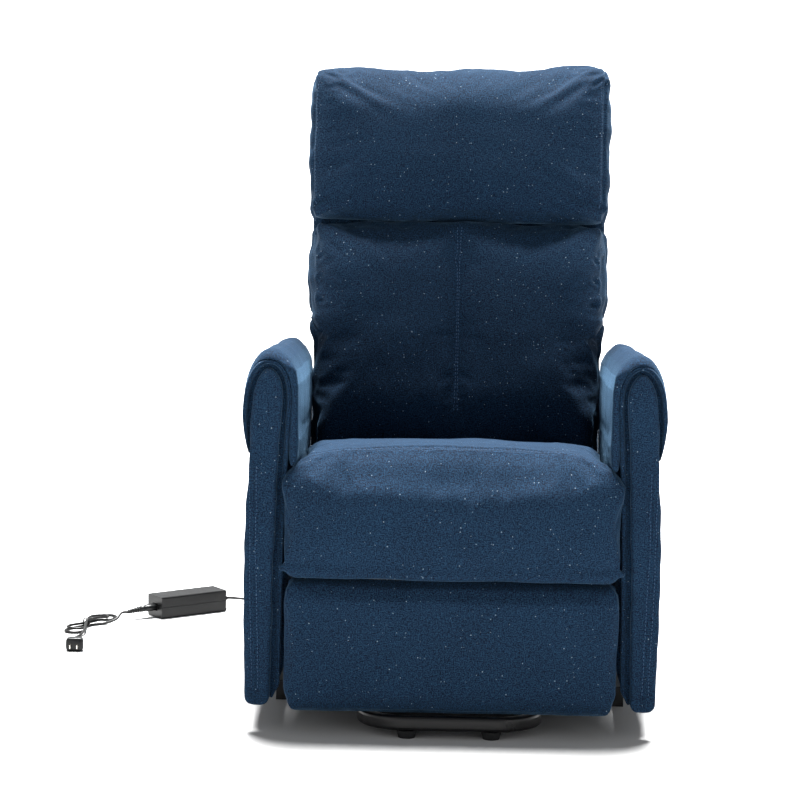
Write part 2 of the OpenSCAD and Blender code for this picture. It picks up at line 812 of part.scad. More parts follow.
module footrest_guide_links() {
  open = 2.1;
  color(STEEL) both_sides()
    along_x(foot_guide_plane, foot_guide_plane + plate)
      bar_outline(GUIDE_0, GUIDE_1, 20, motor_pin_r + run, motor_pin_r + open);
}

board_back = -406;
board_thick = 14;

module footrest_board() {
  color(WOOD) along_y(board_back - board_thick, board_back)
    polygon(rounded([[-262, 52], [262, 52], [262, 252], [-262, 252]], 12, 3));
  color(STEEL) both_sides() {
    x = foot_rear_plane;
    along_x(x, x + plate) difference() {
      union() {
        polygon([[board_back, 124], [board_back, 204], [FOOT_2[0] + 8, 178], [FOOT_2[0] + 8, 150]]);
        translate(FOOT_2) circle(12);
      }
      translate(FOOT_2) circle(motor_pin_r + 0.05);
    }
    rod_x(foot_front_plane - 1, x + plate + 1, FOOT_2, motor_pin_r);
  }
}

module footrest_pad() {
  y1 = board_back - board_thick - 0.3;
  color(NAVY) intersection() {
    along_y(-base_half - 1, y1)
      polygon(rounded([[-262, 43], [262, 43], [276, 66], [276, 261], [-276, 261], [-276, 66]],
                      [12, 12, 12, 4, 4, 12], 4));
    along_x(-280, 280)
      polygon(rounded([[y1, 43], [y1, 261], [-446, 261], [-base_half, 244], [-base_half, 66],
                       [-444, 43]], [2, 2, 8, 12, 16, 8], 4));
  }
}

// ---------- recline drive ----------

module recline_motor() {
  color(BLACK) place_motor(recline_motor_x, RECLINE_Q, RECLINE_K)
    motor_unit(14, 8 + run, 285, 19);
}

module recline_rod() {
  color(ZINC) place_motor(recline_motor_x, RECLINE_Q, RECLINE_K)
    rod_unit(8, 140, span(RECLINE_Q, RECLINE_K), 11, motor_pin_r + 2.9);
}

// ---------- handset ----------

button_size = [3.4, 14, 11];
button_zs = [[8, 118], [8, 98], [-8, 118], [-8, 98]];

module handset_case() {
  half = [handset[0] / 2, handset[1] / 2];
  color(BLACK) translate(handset_at) difference() {
    linear_extrude(handset[2])
      polygon(rounded([[-half[0], -half[1]], [half[0], -half[1]], [half[0], half[1]],
                       [-half[0], half[1]]], 7, 4));
    for (at = button_zs)
      box([-half[0] - 1, at[0] - button_size[1] / 2 - 0.3, at[1] - button_size[2] / 2 - 0.3],
          [-half[0] + 4, at[0] + button_size[1] / 2 + 0.3, at[1] + button_size[2] / 2 + 0.3]);
  }
}

// One push button, standing proud of the handset's outer face.
module button(i) {
  at = button_zs[i];
  x = -handset[0] / 2 - button_rise;
  color(ZINC) translate(handset_at)
    box([x, at[0] - button_size[1] / 2, at[1] - button_size[2] / 2],
        [x + button_size[0], at[0] + button_size[1] / 2, at[1] + button_size[2] / 2]);
}
module button_lift() { button(0); }
module button_lower() { button(1); }
module button_recline() { button(2); }
module button_return() { button(3); }

base_side_rails();
base_cross_tubes();
rail_boots();
front_bow();
front_feet();
lift_brackets();
base_pins();
motor_bracket();
control_box();
dc_plug();
dc_lead();
adapter_case();
adapter_relief();
ac_connector();
ac_lead();
ac_hank();
cord_tie();
ac_tail();
plug_body();
plug_blades();
lift_arms();
lift_torque_tube();
lift_links();
lift_motor();
lift_rod();
side_plates();
seat_cross_tubes();
seat_brackets();
seat_pins();
seat_springs();
seat_cushion();
arm_core_right();
arm_core_left();
facing_right();
facing_left();
arm_pad_right();
arm_pad_left();
side_pocket_right();
side_pocket_left();
arm_brackets();
rear_apron();
back_torque_tube();
back_brackets();
back_frame();
back_webbing();
back_cushion();
head_cushion();
rear_cover();
footrest_rear_links();
footrest_front_links();
footrest_guide_links();
footrest_board();
footrest_pad();
recline_motor();
recline_rod();
handset_case();
button_lift();
button_lower();
button_recline();
button_return();
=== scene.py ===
import json
import math

import bmesh
import bpy
import numpy as np
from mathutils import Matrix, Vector
from mathutils.bvhtree import BVHTree


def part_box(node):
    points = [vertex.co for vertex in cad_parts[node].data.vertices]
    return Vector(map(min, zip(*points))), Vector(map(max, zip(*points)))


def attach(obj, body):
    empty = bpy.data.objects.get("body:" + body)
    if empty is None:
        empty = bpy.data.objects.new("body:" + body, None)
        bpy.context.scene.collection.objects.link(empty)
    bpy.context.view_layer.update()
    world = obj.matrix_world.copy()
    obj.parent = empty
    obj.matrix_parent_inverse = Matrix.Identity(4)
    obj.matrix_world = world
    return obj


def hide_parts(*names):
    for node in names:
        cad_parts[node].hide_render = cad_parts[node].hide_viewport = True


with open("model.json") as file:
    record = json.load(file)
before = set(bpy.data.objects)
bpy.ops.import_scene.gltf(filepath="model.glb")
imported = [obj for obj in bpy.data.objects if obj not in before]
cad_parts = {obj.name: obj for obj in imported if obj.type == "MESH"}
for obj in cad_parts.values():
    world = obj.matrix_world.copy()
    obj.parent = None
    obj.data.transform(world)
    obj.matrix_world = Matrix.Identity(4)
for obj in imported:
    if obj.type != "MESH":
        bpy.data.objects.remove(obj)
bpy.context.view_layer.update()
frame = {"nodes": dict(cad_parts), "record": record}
scene = bpy.context.scene
nodes = frame["nodes"]


# Lengths are in metres, in the CAD's own frame: z is up and the sitter looks along -y.


# ---------- small helpers ----------

def link(obj):
    scene.collection.objects.link(obj)
    return obj


def mesh_object(name, verts, faces, smooth=True):
    mesh = bpy.data.meshes.new(name)
    mesh.from_pydata([tuple(v) for v in verts], [], faces)
    mesh.validate()
    if smooth:
        mesh.polygons.foreach_set("use_smooth", [True] * len(mesh.polygons))
    return link(bpy.data.objects.new(name, mesh))


def get_co(obj):
    co = np.zeros(len(obj.data.vertices) * 3)
    obj.data.vertices.foreach_get("co", co)
    return co.reshape(-1, 3)


def set_co(obj, co):
    obj.data.vertices.foreach_set("co", np.asarray(co, float).ravel())
    obj.data.update()


def get_normals(obj):
    n = np.zeros(len(obj.data.vertices) * 3)
    obj.data.vertex_normals.foreach_get("vector", n)
    return n.reshape(-1, 3)


def apply_modifiers(obj):
    graph = bpy.context.evaluated_depsgraph_get()
    mesh = bpy.data.meshes.new_from_object(obj.evaluated_get(graph))
    obj.modifiers.clear()
    old = obj.data
    obj.data = mesh
    bpy.data.meshes.remove(old)
    mesh.polygons.foreach_set("use_smooth", [True] * len(mesh.polygons))
    return obj


def smoothstep(low, high, x):
    """0 below low, 1 above high, and a smooth rise between them."""
    t = np.clip((np.asarray(x, float) - low) / (high - low), 0, 1)
    return t * t * (3 - 2 * t)


def bump(distance, width):
    """1 at distance 0, falling to nothing within about two widths."""
    return np.exp(-((distance / width) ** 2))


def waves(co, wavelength, seed, terms=7):
    """Smooth, repeatable noise from about -1 to 1 with roughly that wavelength, in metres."""
    rng = np.random.RandomState(seed)
    total = np.zeros(len(co))
    for _ in range(terms):
        direction = rng.normal(size=3)
        direction /= np.linalg.norm(direction)
        k = 2 * math.pi / (wavelength * rng.uniform(0.7, 1.5))
        total += np.sin(co @ direction * k + rng.uniform(0, 2 * math.pi))
    return total / math.sqrt(terms)


def segment_distance(co, a, b):
    """Distance from each point to the segment ab, and how far along it the nearest point is (0 to 1)."""
    a, b = np.asarray(a, float), np.asarray(b, float)
    d = b - a
    t = np.clip(((co - a) @ d) / (d @ d), 0, 1)
    return np.linalg.norm(co - a - t[:, None] * d, axis=1), t


def catmull(points, steps):
    """The smooth curve through the points that the CAD's leads follow too."""
    p = [np.asarray(q, float) for q in points]
    out = []
    for i in range(len(p) - 1):
        a, b, c, d = p[max(i - 1, 0)], p[i], p[i + 1], p[min(i + 2, len(p) - 1)]
        for k in range(steps):
            t = k / steps
            out.append(0.5 * (2 * b + (c - a) * t + (2 * a - 5 * b + 4 * c - d) * t ** 2
                              + (3 * b - a - 3 * c + d) * t ** 3))
    out.append(p[-1])
    return out


def rounded(points, reach, steps):
    """A closed outline with each corner replaced by a curve; reach has one value per corner."""
    p = [np.asarray(q, float) for q in points]
    out = []
    for i, v in enumerate(p):
        a, b = p[i - 1], p[(i + 1) % len(p)]
        da, db = (min(reach[i], np.linalg.norm(end - v) * 0.49) for end in (a, b))
        start = v + (a - v) / np.linalg.norm(a - v) * da
        end = v + (b - v) / np.linalg.norm(b - v) * db
        for k in range(steps + 1):
            t = k / steps
            out.append((1 - t) ** 2 * start + 2 * t * (1 - t) * v + t * t * end)
    return out


def resample(points, step, closed=False):
    p = [np.asarray(q, float) for q in points]
    if closed:
        p.append(p[0])
    lengths = np.array([np.linalg.norm(b - a) for a, b in zip(p[:-1], p[1:])])
    total = lengths.sum()
    count = max(4, int(round(total / step)))
    marks = np.linspace(0, total, count + 1)
    if closed:
        marks = marks[:-1]
    ends = np.concatenate([[0], np.cumsum(lengths)])
    out = []
    for m in marks:
        i = min(int(np.searchsorted(ends, m, side="right")) - 1, len(lengths) - 1)
        out.append(p[i] + (p[i + 1] - p[i]) * ((m - ends[i]) / max(lengths[i], 1e-12)))
    return out


def ring_faces(count, n, base=0):
    """The faces of a skin through count rings of n points each, closed at both ends."""
    faces = []
    for start in range(base, base + (count - 1) * n, n):
        for k in range(n):
            j = (k + 1) % n
            faces.append((start + k, start + j, start + n + j, start + n + k))
    faces.append(tuple(base + k for k in reversed(range(n))))
    faces.append(tuple(base + (count - 1) * n + k for k in range(n)))
    return faces


def loft(name, rings):
    """A skin through rings that all have the same number of points, closed at both ends."""
    verts = [v for ring in rings for v in ring]
    return mesh_object(name, verts, ring_faces(len(rings), len(rings[0])))


def outward(obj):
    """Turns every face of a closed form to look outwards."""
    bm = bmesh.new()
    bm.from_mesh(obj.data)
    bmesh.ops.recalc_face_normals(bm, faces=bm.faces)
    bm.to_mesh(obj.data)
    bm.free()
    return obj


def turns(sides):
    """Evenly spaced angles round a circle."""
    return [2 * math.pi * k / sides for k in range(sides)]


def tube(name, points, radius, sides=8):
    """A round tube along points."""
    p = [Vector(q) for q in points]
    rings, up = [], None
    for i in range(len(p)):
        t = (p[min(i + 1, len(p) - 1)] - p[max(i - 1, 0)]).normalized()
        if up is None:
            up = t.orthogonal().normalized()
        up = (up - t * up.dot(t)).normalized()
        side = t.cross(up)
        rings.append([p[i] + radius * (math.cos(a) * up + math.sin(a) * side) for a in turns(sides)])
    return outward(loft(name, rings))


def join(name, parts):
    """One object from several, keeping each one's faces."""
    verts, faces = [], []
    for part in parts:
        base = len(verts)
        verts += [tuple(v.co) for v in part.data.vertices]
        faces += [tuple(base + i for i in f.vertices) for f in part.data.polygons]
        mesh = part.data
        bpy.data.objects.remove(part)
        bpy.data.meshes.remove(mesh)
    return mesh_object(name, verts, faces)


def mirrored(obj, name):
    """The same form for the chair's other side."""
    co = get_co(obj)
    co[:, 0] *= -1
    faces = [tuple(reversed(f.vertices)) for f in obj.data.polygons]
    return mesh_object(name, co, faces)


def surface_of(obj):
    return BVHTree.FromPolygons([v.co for v in obj.data.vertices],
                                [tuple(f.vertices) for f in obj.data.polygons])


def on_surface(tree, points, lift):
    """Each point moved to the surface, and lifted off it."""
    out = []
    for q in points:
        place, normal, _, _ = tree.find_nearest(Vector(q))
        out.append(place + normal * lift)
    return out


STITCH_PITCH = 0.0065
STITCH_SHARE = 0.62
STITCH_RADIUS = 0.00055
STITCH_LIFT = 0.0001


def stitches(name, tree, path):
    """A row of short thread stitches that lie on a surface along a path."""
    points = on_surface(tree, resample(path, STITCH_PITCH), STITCH_LIFT)
    verts, faces, sides = [], [], 6
    long, short = STITCH_SHARE / 2, STITCH_SHARE / 4
    for a, b in zip(points[:-1], points[1:]):
        d = b - a
        if d.length < 1e-5:
            continue
        t = d.normalized()
        u = t.orthogonal().normalized()
        w = t.cross(u)
        base = len(verts)
        for along, r in ((0.5 - long, 0.35), (0.5 - short, 1.0), (0.5 + short, 1.0), (0.5 + long, 0.35)):
            for angle in turns(sides):
                verts.append(a + d * along + STITCH_RADIUS * r * (math.cos(angle) * u + math.sin(angle) * w))
        faces += ring_faces(4, sides, base)
    return outward(mesh_object(name, verts, faces))


# ---------- camera ----------

SENSOR_MM = 36
LENS_MM = 153
EYE = Vector((0, -5.93, 1.385))
PITCH = math.radians(8.497801)
YAW = math.radians(0.943610)
ROLL = math.radians(1.0)


def make_camera():
    ahead = Vector((-math.sin(YAW) * math.cos(PITCH), math.cos(YAW) * math.cos(PITCH), -math.sin(PITCH)))
    right = Vector((math.cos(YAW), math.sin(YAW), 0))
    up = right.cross(ahead)
    turned = math.cos(ROLL) * right + math.sin(ROLL) * up
    top = math.cos(ROLL) * up - math.sin(ROLL) * right
    data = bpy.data.cameras.new("camera")
    data.sensor_width = SENSOR_MM
    data.lens = LENS_MM
    data.clip_start, data.clip_end = 0.1, 60
    cam = link(bpy.data.objects.new("camera", data))
    m = cam.matrix_world.copy()
    for row in range(3):
        m[row][0], m[row][1], m[row][2], m[row][3] = turned[row], top[row], -ahead[row], EYE[row]
    cam.matrix_world = m
    scene.camera = cam


make_camera()


# ---------- materials ----------

class Nodes:
    """Short calls for building one material."""

    def __init__(self, name):
        self.material = bpy.data.materials.new(name)
        self.material.use_nodes = True
        self.tree = self.material.node_tree
        self.tree.nodes.clear()
        self.shader = self.add("ShaderNodeBsdfPrincipled")
        out = self.add("ShaderNodeOutputMaterial")
        self.wire(self.shader.outputs[0], out.inputs[0])
        self.coord = self.add("ShaderNodeTexCoord")
        self.place = self.coord.outputs["Object"]

    def add(self, kind, **settings):
        node = self.tree.nodes.new(kind)
        for key, value in settings.items():
            setattr(node, key, value)
        return node

    def wire(self, a, b):
        self.tree.links.new(a, b)

    def feed(self, socket, value):
        if isinstance(value, bpy.types.NodeSocket):
            self.wire(value, socket)
        elif value is not None:
            socket.default_value = value

    def math(self, operation, a, b=None, c=None):
        node = self.add("ShaderNodeMath", operation=operation)
        for socket, value in zip(node.inputs, (a, b, c)):
            self.feed(socket, value)
        return node.outputs[0]

    def vector(self, operation, a, b=None):
        node = self.add("ShaderNodeVectorMath", operation=operation)
        self.feed(node.inputs[0], a)
        self.feed(node.inputs[1], b)
        return node.outputs[0]

    def split(self, vector):
        node = self.add("ShaderNodeSeparateXYZ")
        self.wire(vector, node.inputs[0])
        return node.outputs

    def combine(self, x, y, z=0.0):
        node = self.add("ShaderNodeCombineXYZ")
        for socket, value in zip(node.inputs, (x, y, z)):
            self.feed(socket, value)
        return node.outputs[0]

    def scaled(self, vector, x, y, z):
        return self.vector("MULTIPLY", vector, (x, y, z))

    def noise(self, vector, scale, detail=2.0, roughness=0.5):
        node = self.add("ShaderNodeTexNoise")
        self.feed(node.inputs["Vector"], vector)
        node.inputs["Scale"].default_value = scale
        node.inputs["Detail"].default_value = detail
        node.inputs["Roughness"].default_value = roughness
        return node.outputs["Fac"]

    def cells(self, vector, scale):
        node = self.add("ShaderNodeTexVoronoi")
        self.feed(node.inputs["Vector"], vector)
        node.inputs["Scale"].default_value = scale
        return node.outputs["Distance"], node.outputs["Color"]

    def mapped(self, value, low, high, to_low=0.0, to_high=1.0):
        node = self.add("ShaderNodeMapRange")
        for socket, v in zip(node.inputs, (value, low, high, to_low, to_high)):
            self.feed(socket, v)
        return node.outputs[0]

    def mix(self, factor, a, b):
        node = self.add("ShaderNodeMix", data_type="RGBA")
        self.feed(node.inputs[0], factor)
        self.feed(node.inputs[6], a)
        self.feed(node.inputs[7], b)
        return node.outputs[2]

    def bump(self, height, distance, strength=1.0, under=None):
        node = self.add("ShaderNodeBump")
        node.inputs["Strength"].default_value = strength
        node.inputs["Distance"].default_value = distance
        self.feed(node.inputs["Height"], height)
        if under is not None:
            self.wire(under, node.inputs["Normal"])
        return node.outputs[0]

    def set(self, **values):
        for key, value in values.items():
            self.feed(self.shader.inputs[key.replace("_", " ")], value)


def cloth_plane(n):
    """Two coordinates in the cloth's own plane, picked by the way the surface faces."""
    ax, ay, az = n.split(n.vector("ABSOLUTE", n.coord.outputs["Normal"]))
    x, y, z = n.split(n.place)
    side = n.math("GREATER_THAN", ax, n.math("MAXIMUM", ay, az))
    flat = n.math("GREATER_THAN", az, n.math("MAXIMUM", ax, ay))
    u = n.math("ADD", n.math("MULTIPLY", x, n.math("SUBTRACT", 1.0, side)), n.math("MULTIPLY", y, side))
    v = n.math("ADD", n.math("MULTIPLY", z, n.math("SUBTRACT", 1.0, flat)), n.math("MULTIPLY", y, flat))
    return u, v


def fabric(name, dark, light, fleck):
    """Chambray-like upholstery cloth: two thread colours, slubs both ways and scattered pale flecks."""
    thread = 0.0013
    n = Nodes(name)
    u, v = cloth_plane(n)
    plane = n.combine(u, v)
    wander = n.noise(plane, 160, 1.0)
    uu = n.math("ADD", u, n.math("MULTIPLY", wander, thread * 0.8))
    vv = n.math("ADD", v, n.math("MULTIPLY", wander, thread * 0.8))
    over = n.math("MULTIPLY", n.math("SINE", n.math("MULTIPLY", uu, math.pi / thread)),
                  n.math("SINE", n.math("MULTIPLY", vv, math.pi / thread)))
    weft = n.noise(n.combine(n.math("MULTIPLY", u, 120.0), n.math("MULTIPLY", v, 700.0)), 1.0, 2.0)
    warp = n.noise(n.combine(n.math("MULTIPLY", u, 700.0), n.math("MULTIPLY", v, 120.0)), 1.0, 2.0)
    grain = n.noise(plane, 480, 2.0, 0.55)
    patch = n.noise(n.place, 9, 3.0)
    tone = None
    for value, low, high, weight in ((over, -1, 1, 0.06), (weft, 0.44, 0.60, 0.22), (warp, 0.44, 0.60, 0.18),
                                     (grain, 0.475, 0.555, 0.48), (patch, 0.35, 0.65, 0.06)):
        part = n.math("MULTIPLY", n.mapped(value, low, high), weight)
        tone = part if tone is None else n.math("ADD", tone, part)
    colour = n.mix(tone, dark, light)
    distance, random = n.cells(plane, 150)
    chance = n.split(random)[0]
    spot = n.math("MULTIPLY", n.math("LESS_THAN", distance, n.mapped(chance, 0.0, 1.0, 0.03, 0.16)),
                  n.math("GREATER_THAN", n.split(random)[1], 0.62))
    colour = n.mix(n.math("MULTIPLY", spot, 0.50), colour, fleck)
    height = n.math("ADD", n.math("MULTIPLY", over, 0.5),
                    n.math("ADD", n.math("MULTIPLY", weft, 0.9), n.math("MULTIPLY", warp, 0.7)))
    fine = n.bump(height, 0.00035, 0.55)
    soft = n.bump(n.noise(n.place, 38, 3.0), 0.0016, 0.35, fine)
    n.set(Base_Color=colour, Roughness=n.mapped(grain, 0.2, 0.8, 0.82, 0.97), Normal=soft,
          Specular_IOR_Level=0.10, Sheen_Weight=0.12, Sheen_Roughness=0.34,
          Sheen_Tint=(0.30, 0.60, 0.95, 1.0))
    return n.material


def painted(name, colour, roughness, grain_scale, grain_depth, coat=0.0):
    n = Nodes(name)
    grain = n.noise(n.place, grain_scale, 3.0)
    smear = n.noise(n.place, 14, 4.0)
    worn = n.mapped(n.noise(n.place, 60, 5.0), 0.62, 0.74)
    pale = tuple(min(1, c * 2.2 + 0.01) for c in colour[:3]) + (1,)
    base = n.mix(n.math("MULTIPLY", worn, 0.25), colour, pale)
    n.set(Base_Color=base, Roughness=n.mapped(smear, 0.2, 0.8, roughness * 0.8, roughness * 1.25),
          Normal=n.bump(grain, grain_depth, 0.6), Coat_Weight=coat, Coat_Roughness=0.12,
          Specular_IOR_Level=0.22)
    return n.material


def metal(name, colour, roughness, stretch):
    n = Nodes(name)
    brushed = n.noise(n.scaled(n.place, *stretch), 1.0, 3.0)
    smear = n.noise(n.place, 30, 4.0)
    shade = n.mix(n.mapped(smear, 0.3, 0.7), colour, tuple(c * 0.72 for c in colour[:3]) + (1,))
    n.set(Base_Color=shade, Metallic=1.0,
          Roughness=n.mapped(brushed, 0.2, 0.8, roughness * 0.7, roughness * 1.3),
          Normal=n.bump(brushed, 0.0001, 0.4))
    return n.material


def moulded(name, colour, roughness, grain=1400, parting=None):
    """Spark-eroded plastic: a fine grain, a little dust on it, and a parting groove at one height if given,
    painted darker inside as shade.
    """
    n = Nodes(name)
    normal = n.bump(n.noise(n.place, grain, 2.0), 0.00012, 0.5)
    dust = n.mapped(n.noise(n.place, 26, 5.0), 0.5, 0.8)
    pale = tuple(c * 1.6 + 0.006 for c in colour[:3]) + (1,)
    shade = n.mix(n.math("MULTIPLY", dust, 0.5), colour, pale)
    if parting is not None:
        away = n.math("ABSOLUTE", n.math("SUBTRACT", n.split(n.place)[2], parting))
        groove = n.mapped(away, 0.0003, 0.0008)
        normal = n.bump(groove, 0.0006, 0.9, normal)
        # Painted shade: the colour inside the parting groove is drawn towards black, as the shade in the
        # recess.
        shade = n.mix(n.math("MULTIPLY_ADD", groove, 0.6, 0.4), (0.001, 0.001, 0.001, 1), shade)
    n.set(Base_Color=shade, Normal=normal, Specular_IOR_Level=0.22,
          Roughness=n.mapped(n.noise(n.place, 45, 3.0), 0.3, 0.7, roughness * 0.85, roughness * 1.15))
    return n.material


def wood(name):
    n = Nodes(name)
    x, y, z = n.split(n.place)
    rings = n.noise(n.combine(n.math("MULTIPLY", x, 260.0), n.math("MULTIPLY", y, 260.0),
                              n.math("MULTIPLY", z, 9.0)), 1.0, 4.0)
    plies = n.math("GREATER_THAN", n.math("SINE", n.math("MULTIPLY", y, 2 * math.pi / 0.0032)), 0.0)
    grain = n.mix(n.mapped(rings, 0.3, 0.7), (0.52, 0.34, 0.18, 1), (0.33, 0.19, 0.09, 1))
    colour = n.mix(n.math("MULTIPLY", plies, 0.25), grain, (0.22, 0.12, 0.06, 1))
    n.set(Base_Color=colour, Roughness=n.mapped(rings, 0.3, 0.7, 0.62, 0.8),
          Normal=n.bump(rings, 0.0004, 0.4))
    return n.material


def webbing(name):
    n = Nodes(name)
    x, _, z = n.split(n.place)
    ribs = n.math("SINE", n.math("MULTIPLY", z, 2 * math.pi / 0.004))
    weave = n.math("SINE", n.math("MULTIPLY", x, 2 * math.pi / 0.0022))
    height = n.math("ADD", n.math("MULTIPLY", ribs, 0.6), n.math("MULTIPLY", weave, 0.4))
    # Painted light and shade: the colour follows the bump's height, dark in the troughs and lighter on the
    # crests of the ribs and weave.
    colour = n.mix(n.mapped(height, -1, 1), (0.018, 0.018, 0.02, 1), (0.09, 0.09, 0.10, 1))
    n.set(Base_Color=colour, Roughness=0.85, Normal=n.bump(height, 0.0006, 0.7))
    return n.material


NAVY = fabric("navy_cloth", (0.0000, 0.0004, 0.0040, 1), (0.0106, 0.0355, 0.0745, 1), (0.24, 0.32, 0.40, 1))
THREAD = moulded("navy_thread", (0.020, 0.050, 0.105, 1), 0.6)
STEEL = painted("powder_coat", (0.014, 0.015, 0.016, 1), 0.42, 900, 0.0002)
GLOSS = painted("gloss_paint", (0.003, 0.003, 0.0035, 1), 0.30, 40, 0.0003, coat=0.04)
RUBBER = moulded("rubber", (0.008, 0.0085, 0.009, 1), 0.75, 700)
ZINC = metal("zinc_plate", (0.62, 0.61, 0.57, 1), 0.32, (40, 900, 900))
NICKEL = metal("nickel_plate", (0.78, 0.74, 0.66, 1), 0.2, (900, 60, 900))
PLASTIC = moulded("satin_plastic", (0.0045, 0.0050, 0.0052, 1), 0.34)
JACKET = moulded("cord_jacket", (0.004, 0.004, 0.004, 1), 0.40, 500)
BUTTON = moulded("button_plastic", (0.30, 0.31, 0.32, 1), 0.45)
PLYWOOD = wood("plywood")
WEBBING = webbing("elastic_webbing")
SLOT_MATERIAL = {
    "steel_black": STEEL, "steel_gloss": GLOSS, "rubber": RUBBER, "zinc": ZINC, "nickel": NICKEL,
    "plastic_black": PLASTIC, "cord_jacket": JACKET, "buttons": BUTTON, "navy_fabric": NAVY,
    "plywood": PLYWOOD, "webbing": WEBBING,
}


def paint(obj, material):
    obj.data.materials.clear()
    obj.data.materials.append(material)
    return obj


for part in frame["record"]["subparts"]:
    paint(nodes[part["node"]], SLOT_MATERIAL[part["material_slot"]])
paint(nodes["adapter_case"], moulded("adapter_plastic", (0.0035, 0.0038, 0.0040, 1), 0.33, parting=0.022))


# ---------- leads: routes as in the CAD, in metres ----------

LEAD_D = 0.005
ALONG = Vector((math.cos(math.radians(36)), math.sin(math.radians(36)), 0))
ADAPTER_MID = Vector((-0.510, 0.500, 0))
ADAPTER_LEN = 0.145
RELIEF_LEN = 0.020
CONNECTOR_LEN = 0.062
CASE_MIDDLE_Z = 0.020
DC_END = ADAPTER_MID + (ADAPTER_LEN / 2 + RELIEF_LEN) * ALONG + Vector((0, 0, CASE_MIDDLE_Z))
AC_START = ADAPTER_MID - (ADAPTER_LEN / 2 + CONNECTOR_LEN) * ALONG + Vector((0, 0, 0.016))
DC_ROUTE = [
    (0.030, 0.478, 0.056), (0.030, 0.492, 0.053), (0.028, 0.512, 0.038), (0.020, 0.536, 0.016),
    (0.004, 0.566, 0.003), (-0.022, 0.596, 0.003), (-0.066, 0.618, 0.003), (-0.118, 0.614, 0.003),
    (-0.158, 0.584, 0.003), (-0.194, 0.556, 0.003), (-0.238, 0.548, 0.003), (-0.276, 0.572, 0.003),
    (-0.300, 0.612, 0.003), (-0.330, 0.640, 0.003), (-0.370, 0.632, 0.004), (-0.402, 0.600, 0.009),
    tuple(DC_END + 0.014 * ALONG - Vector((0, 0, 0.002))), tuple(DC_END)]
AC_TAIL_ROUTE = [(-0.698, 0.250, 0.003), (-0.692, 0.226, 0.005), (-0.688, 0.206, 0.011),
                 (-0.686, 0.190, 0.014), (-0.686, 0.184, 0.014)]
PLUG_AT = Vector((-0.688, 0.143, 0))
HANK_MID = Vector((-0.685, 0.366, 0))
HANK_ANGLE = math.radians(69)
TIE_AT = -0.0125
FOLD_R = 0.0172


def lead_curve(name, points):
    """A cord: one open spline with a round bevel, through every point."""
    data = bpy.data.curves.new(name, "CURVE")
    data.dimensions = "3D"
    data.bevel_depth = LEAD_D / 2
    data.bevel_resolution = 5
    data.use_fill_caps = True
    spline = data.splines.new("POLY")
    spline.points.add(len(points) - 1)
    for target, p in zip(spline.points, points):
        target.co = (*p, 1)
    data.materials.append(JACKET)
    return link(bpy.data.objects.new(name, data))


def on_hank(s, side, z):
    """A point of the hank: s along it, side across it, z above the floor."""
    c, k = math.cos(HANK_ANGLE), math.sin(HANK_ANGLE)
    return (HANK_MID.x + s * c - side * k, HANK_MID.y + s * k + side * c, z)


def fold(at, z_in, z_out, way):
    """Half a turn of the lead at one end of the hank. way is -1 at the plug's end, 1 at the other."""
    points = []
    for i in range(7):
        a = math.pi * i / 6
        side = FOLD_R * math.cos(a) * way
        points.append(on_hank(at + way * FOLD_R * math.sin(a), side, z_in + (z_out - z_in) * i / 6))
    return points


def run(way, side, z, near, far):
    """One length between folds. It draws in at the tie and opens out again on both sides of it."""
    return [on_hank(TIE_AT + way * s, side * wide, z)
            for s, wide in ((near, 0.0150), (near * 0.55, 0.0085), (0, 0.0031), (far * -0.45, 0.0080),
                            (far * -0.9, 0.0148))]


def mains_route():
    """In past the tie, twice round the hank, past the tie again and out to the plug."""
    levels = (0.0030, 0.0084)
    plug_folds = (-0.060, -0.050)
    open_folds = (0.074, 0.040)
    points = [tuple(AC_START + 0.006 * ALONG), tuple(AC_START), tuple(AC_START - 0.012 * ALONG),
              on_hank(0.046, -0.0330, 0.0070), on_hank(0.022, -0.0225, 0.0030),
              on_hank(0.004, -0.0105, 0.0030), on_hank(TIE_AT, -0.0031, 0.0030),
              on_hank(-0.031, -0.0085, 0.0030), on_hank(-0.050, -0.0150, 0.0030)]
    for turn in range(2):
        z = levels[turn]
        points += fold(plug_folds[turn], z, z, -1)
        points += run(1, 1, z, -0.034 + 0.006 * turn, -0.040 - 0.010 * (1 - turn))
        points += fold(open_folds[turn], z, z + 0.0016 * turn, 1)
        if turn == 0:
            points += [on_hank(0.058, -0.0190, 0.0030), on_hank(0.040, -0.0185, 0.0050),
                       on_hank(0.020, -0.0125, 0.0084), on_hank(0.004, -0.0070, 0.0084),
                       on_hank(TIE_AT, -0.0031, 0.0084), on_hank(-0.031, -0.0085, 0.0084)]
    points += [on_hank(0.034, -0.0168, 0.0118), on_hank(0.018, -0.0118, 0.0138),
               on_hank(0.004, -0.0068, 0.0138), on_hank(TIE_AT, -0.0031, 0.0138),
               on_hank(-0.030, -0.0090, 0.0138), on_hank(-0.046, -0.0165, 0.0136),
               on_hank(-0.063, -0.0240, 0.0112), on_hank(-0.080, -0.0282, 0.0066),
               on_hank(-0.096, -0.0296, 0.0032)]
    return points + AC_TAIL_ROUTE


def cord_tie():
    """A wire tie: two turns round the bundle and its twisted ends."""
    loops = []
    for i in range(49):
        a = 2 * math.pi * i / 24 + 0.6
        loops.append(on_hank(TIE_AT + 0.0042 * (i / 48 - 0.5), 0.0068 * math.cos(a),
                             0.0085 + 0.0080 * math.sin(a)))
    start = Vector(loops[-1])
    ends = [tuple(start + Vector((0.0006 * math.cos(1.5 * i), 0.0006 * math.sin(1.5 * i), 0.0012 * i)))
            for i in range(8)]
    return tube("lead_tie", loops + ends, 0.0009, 8)


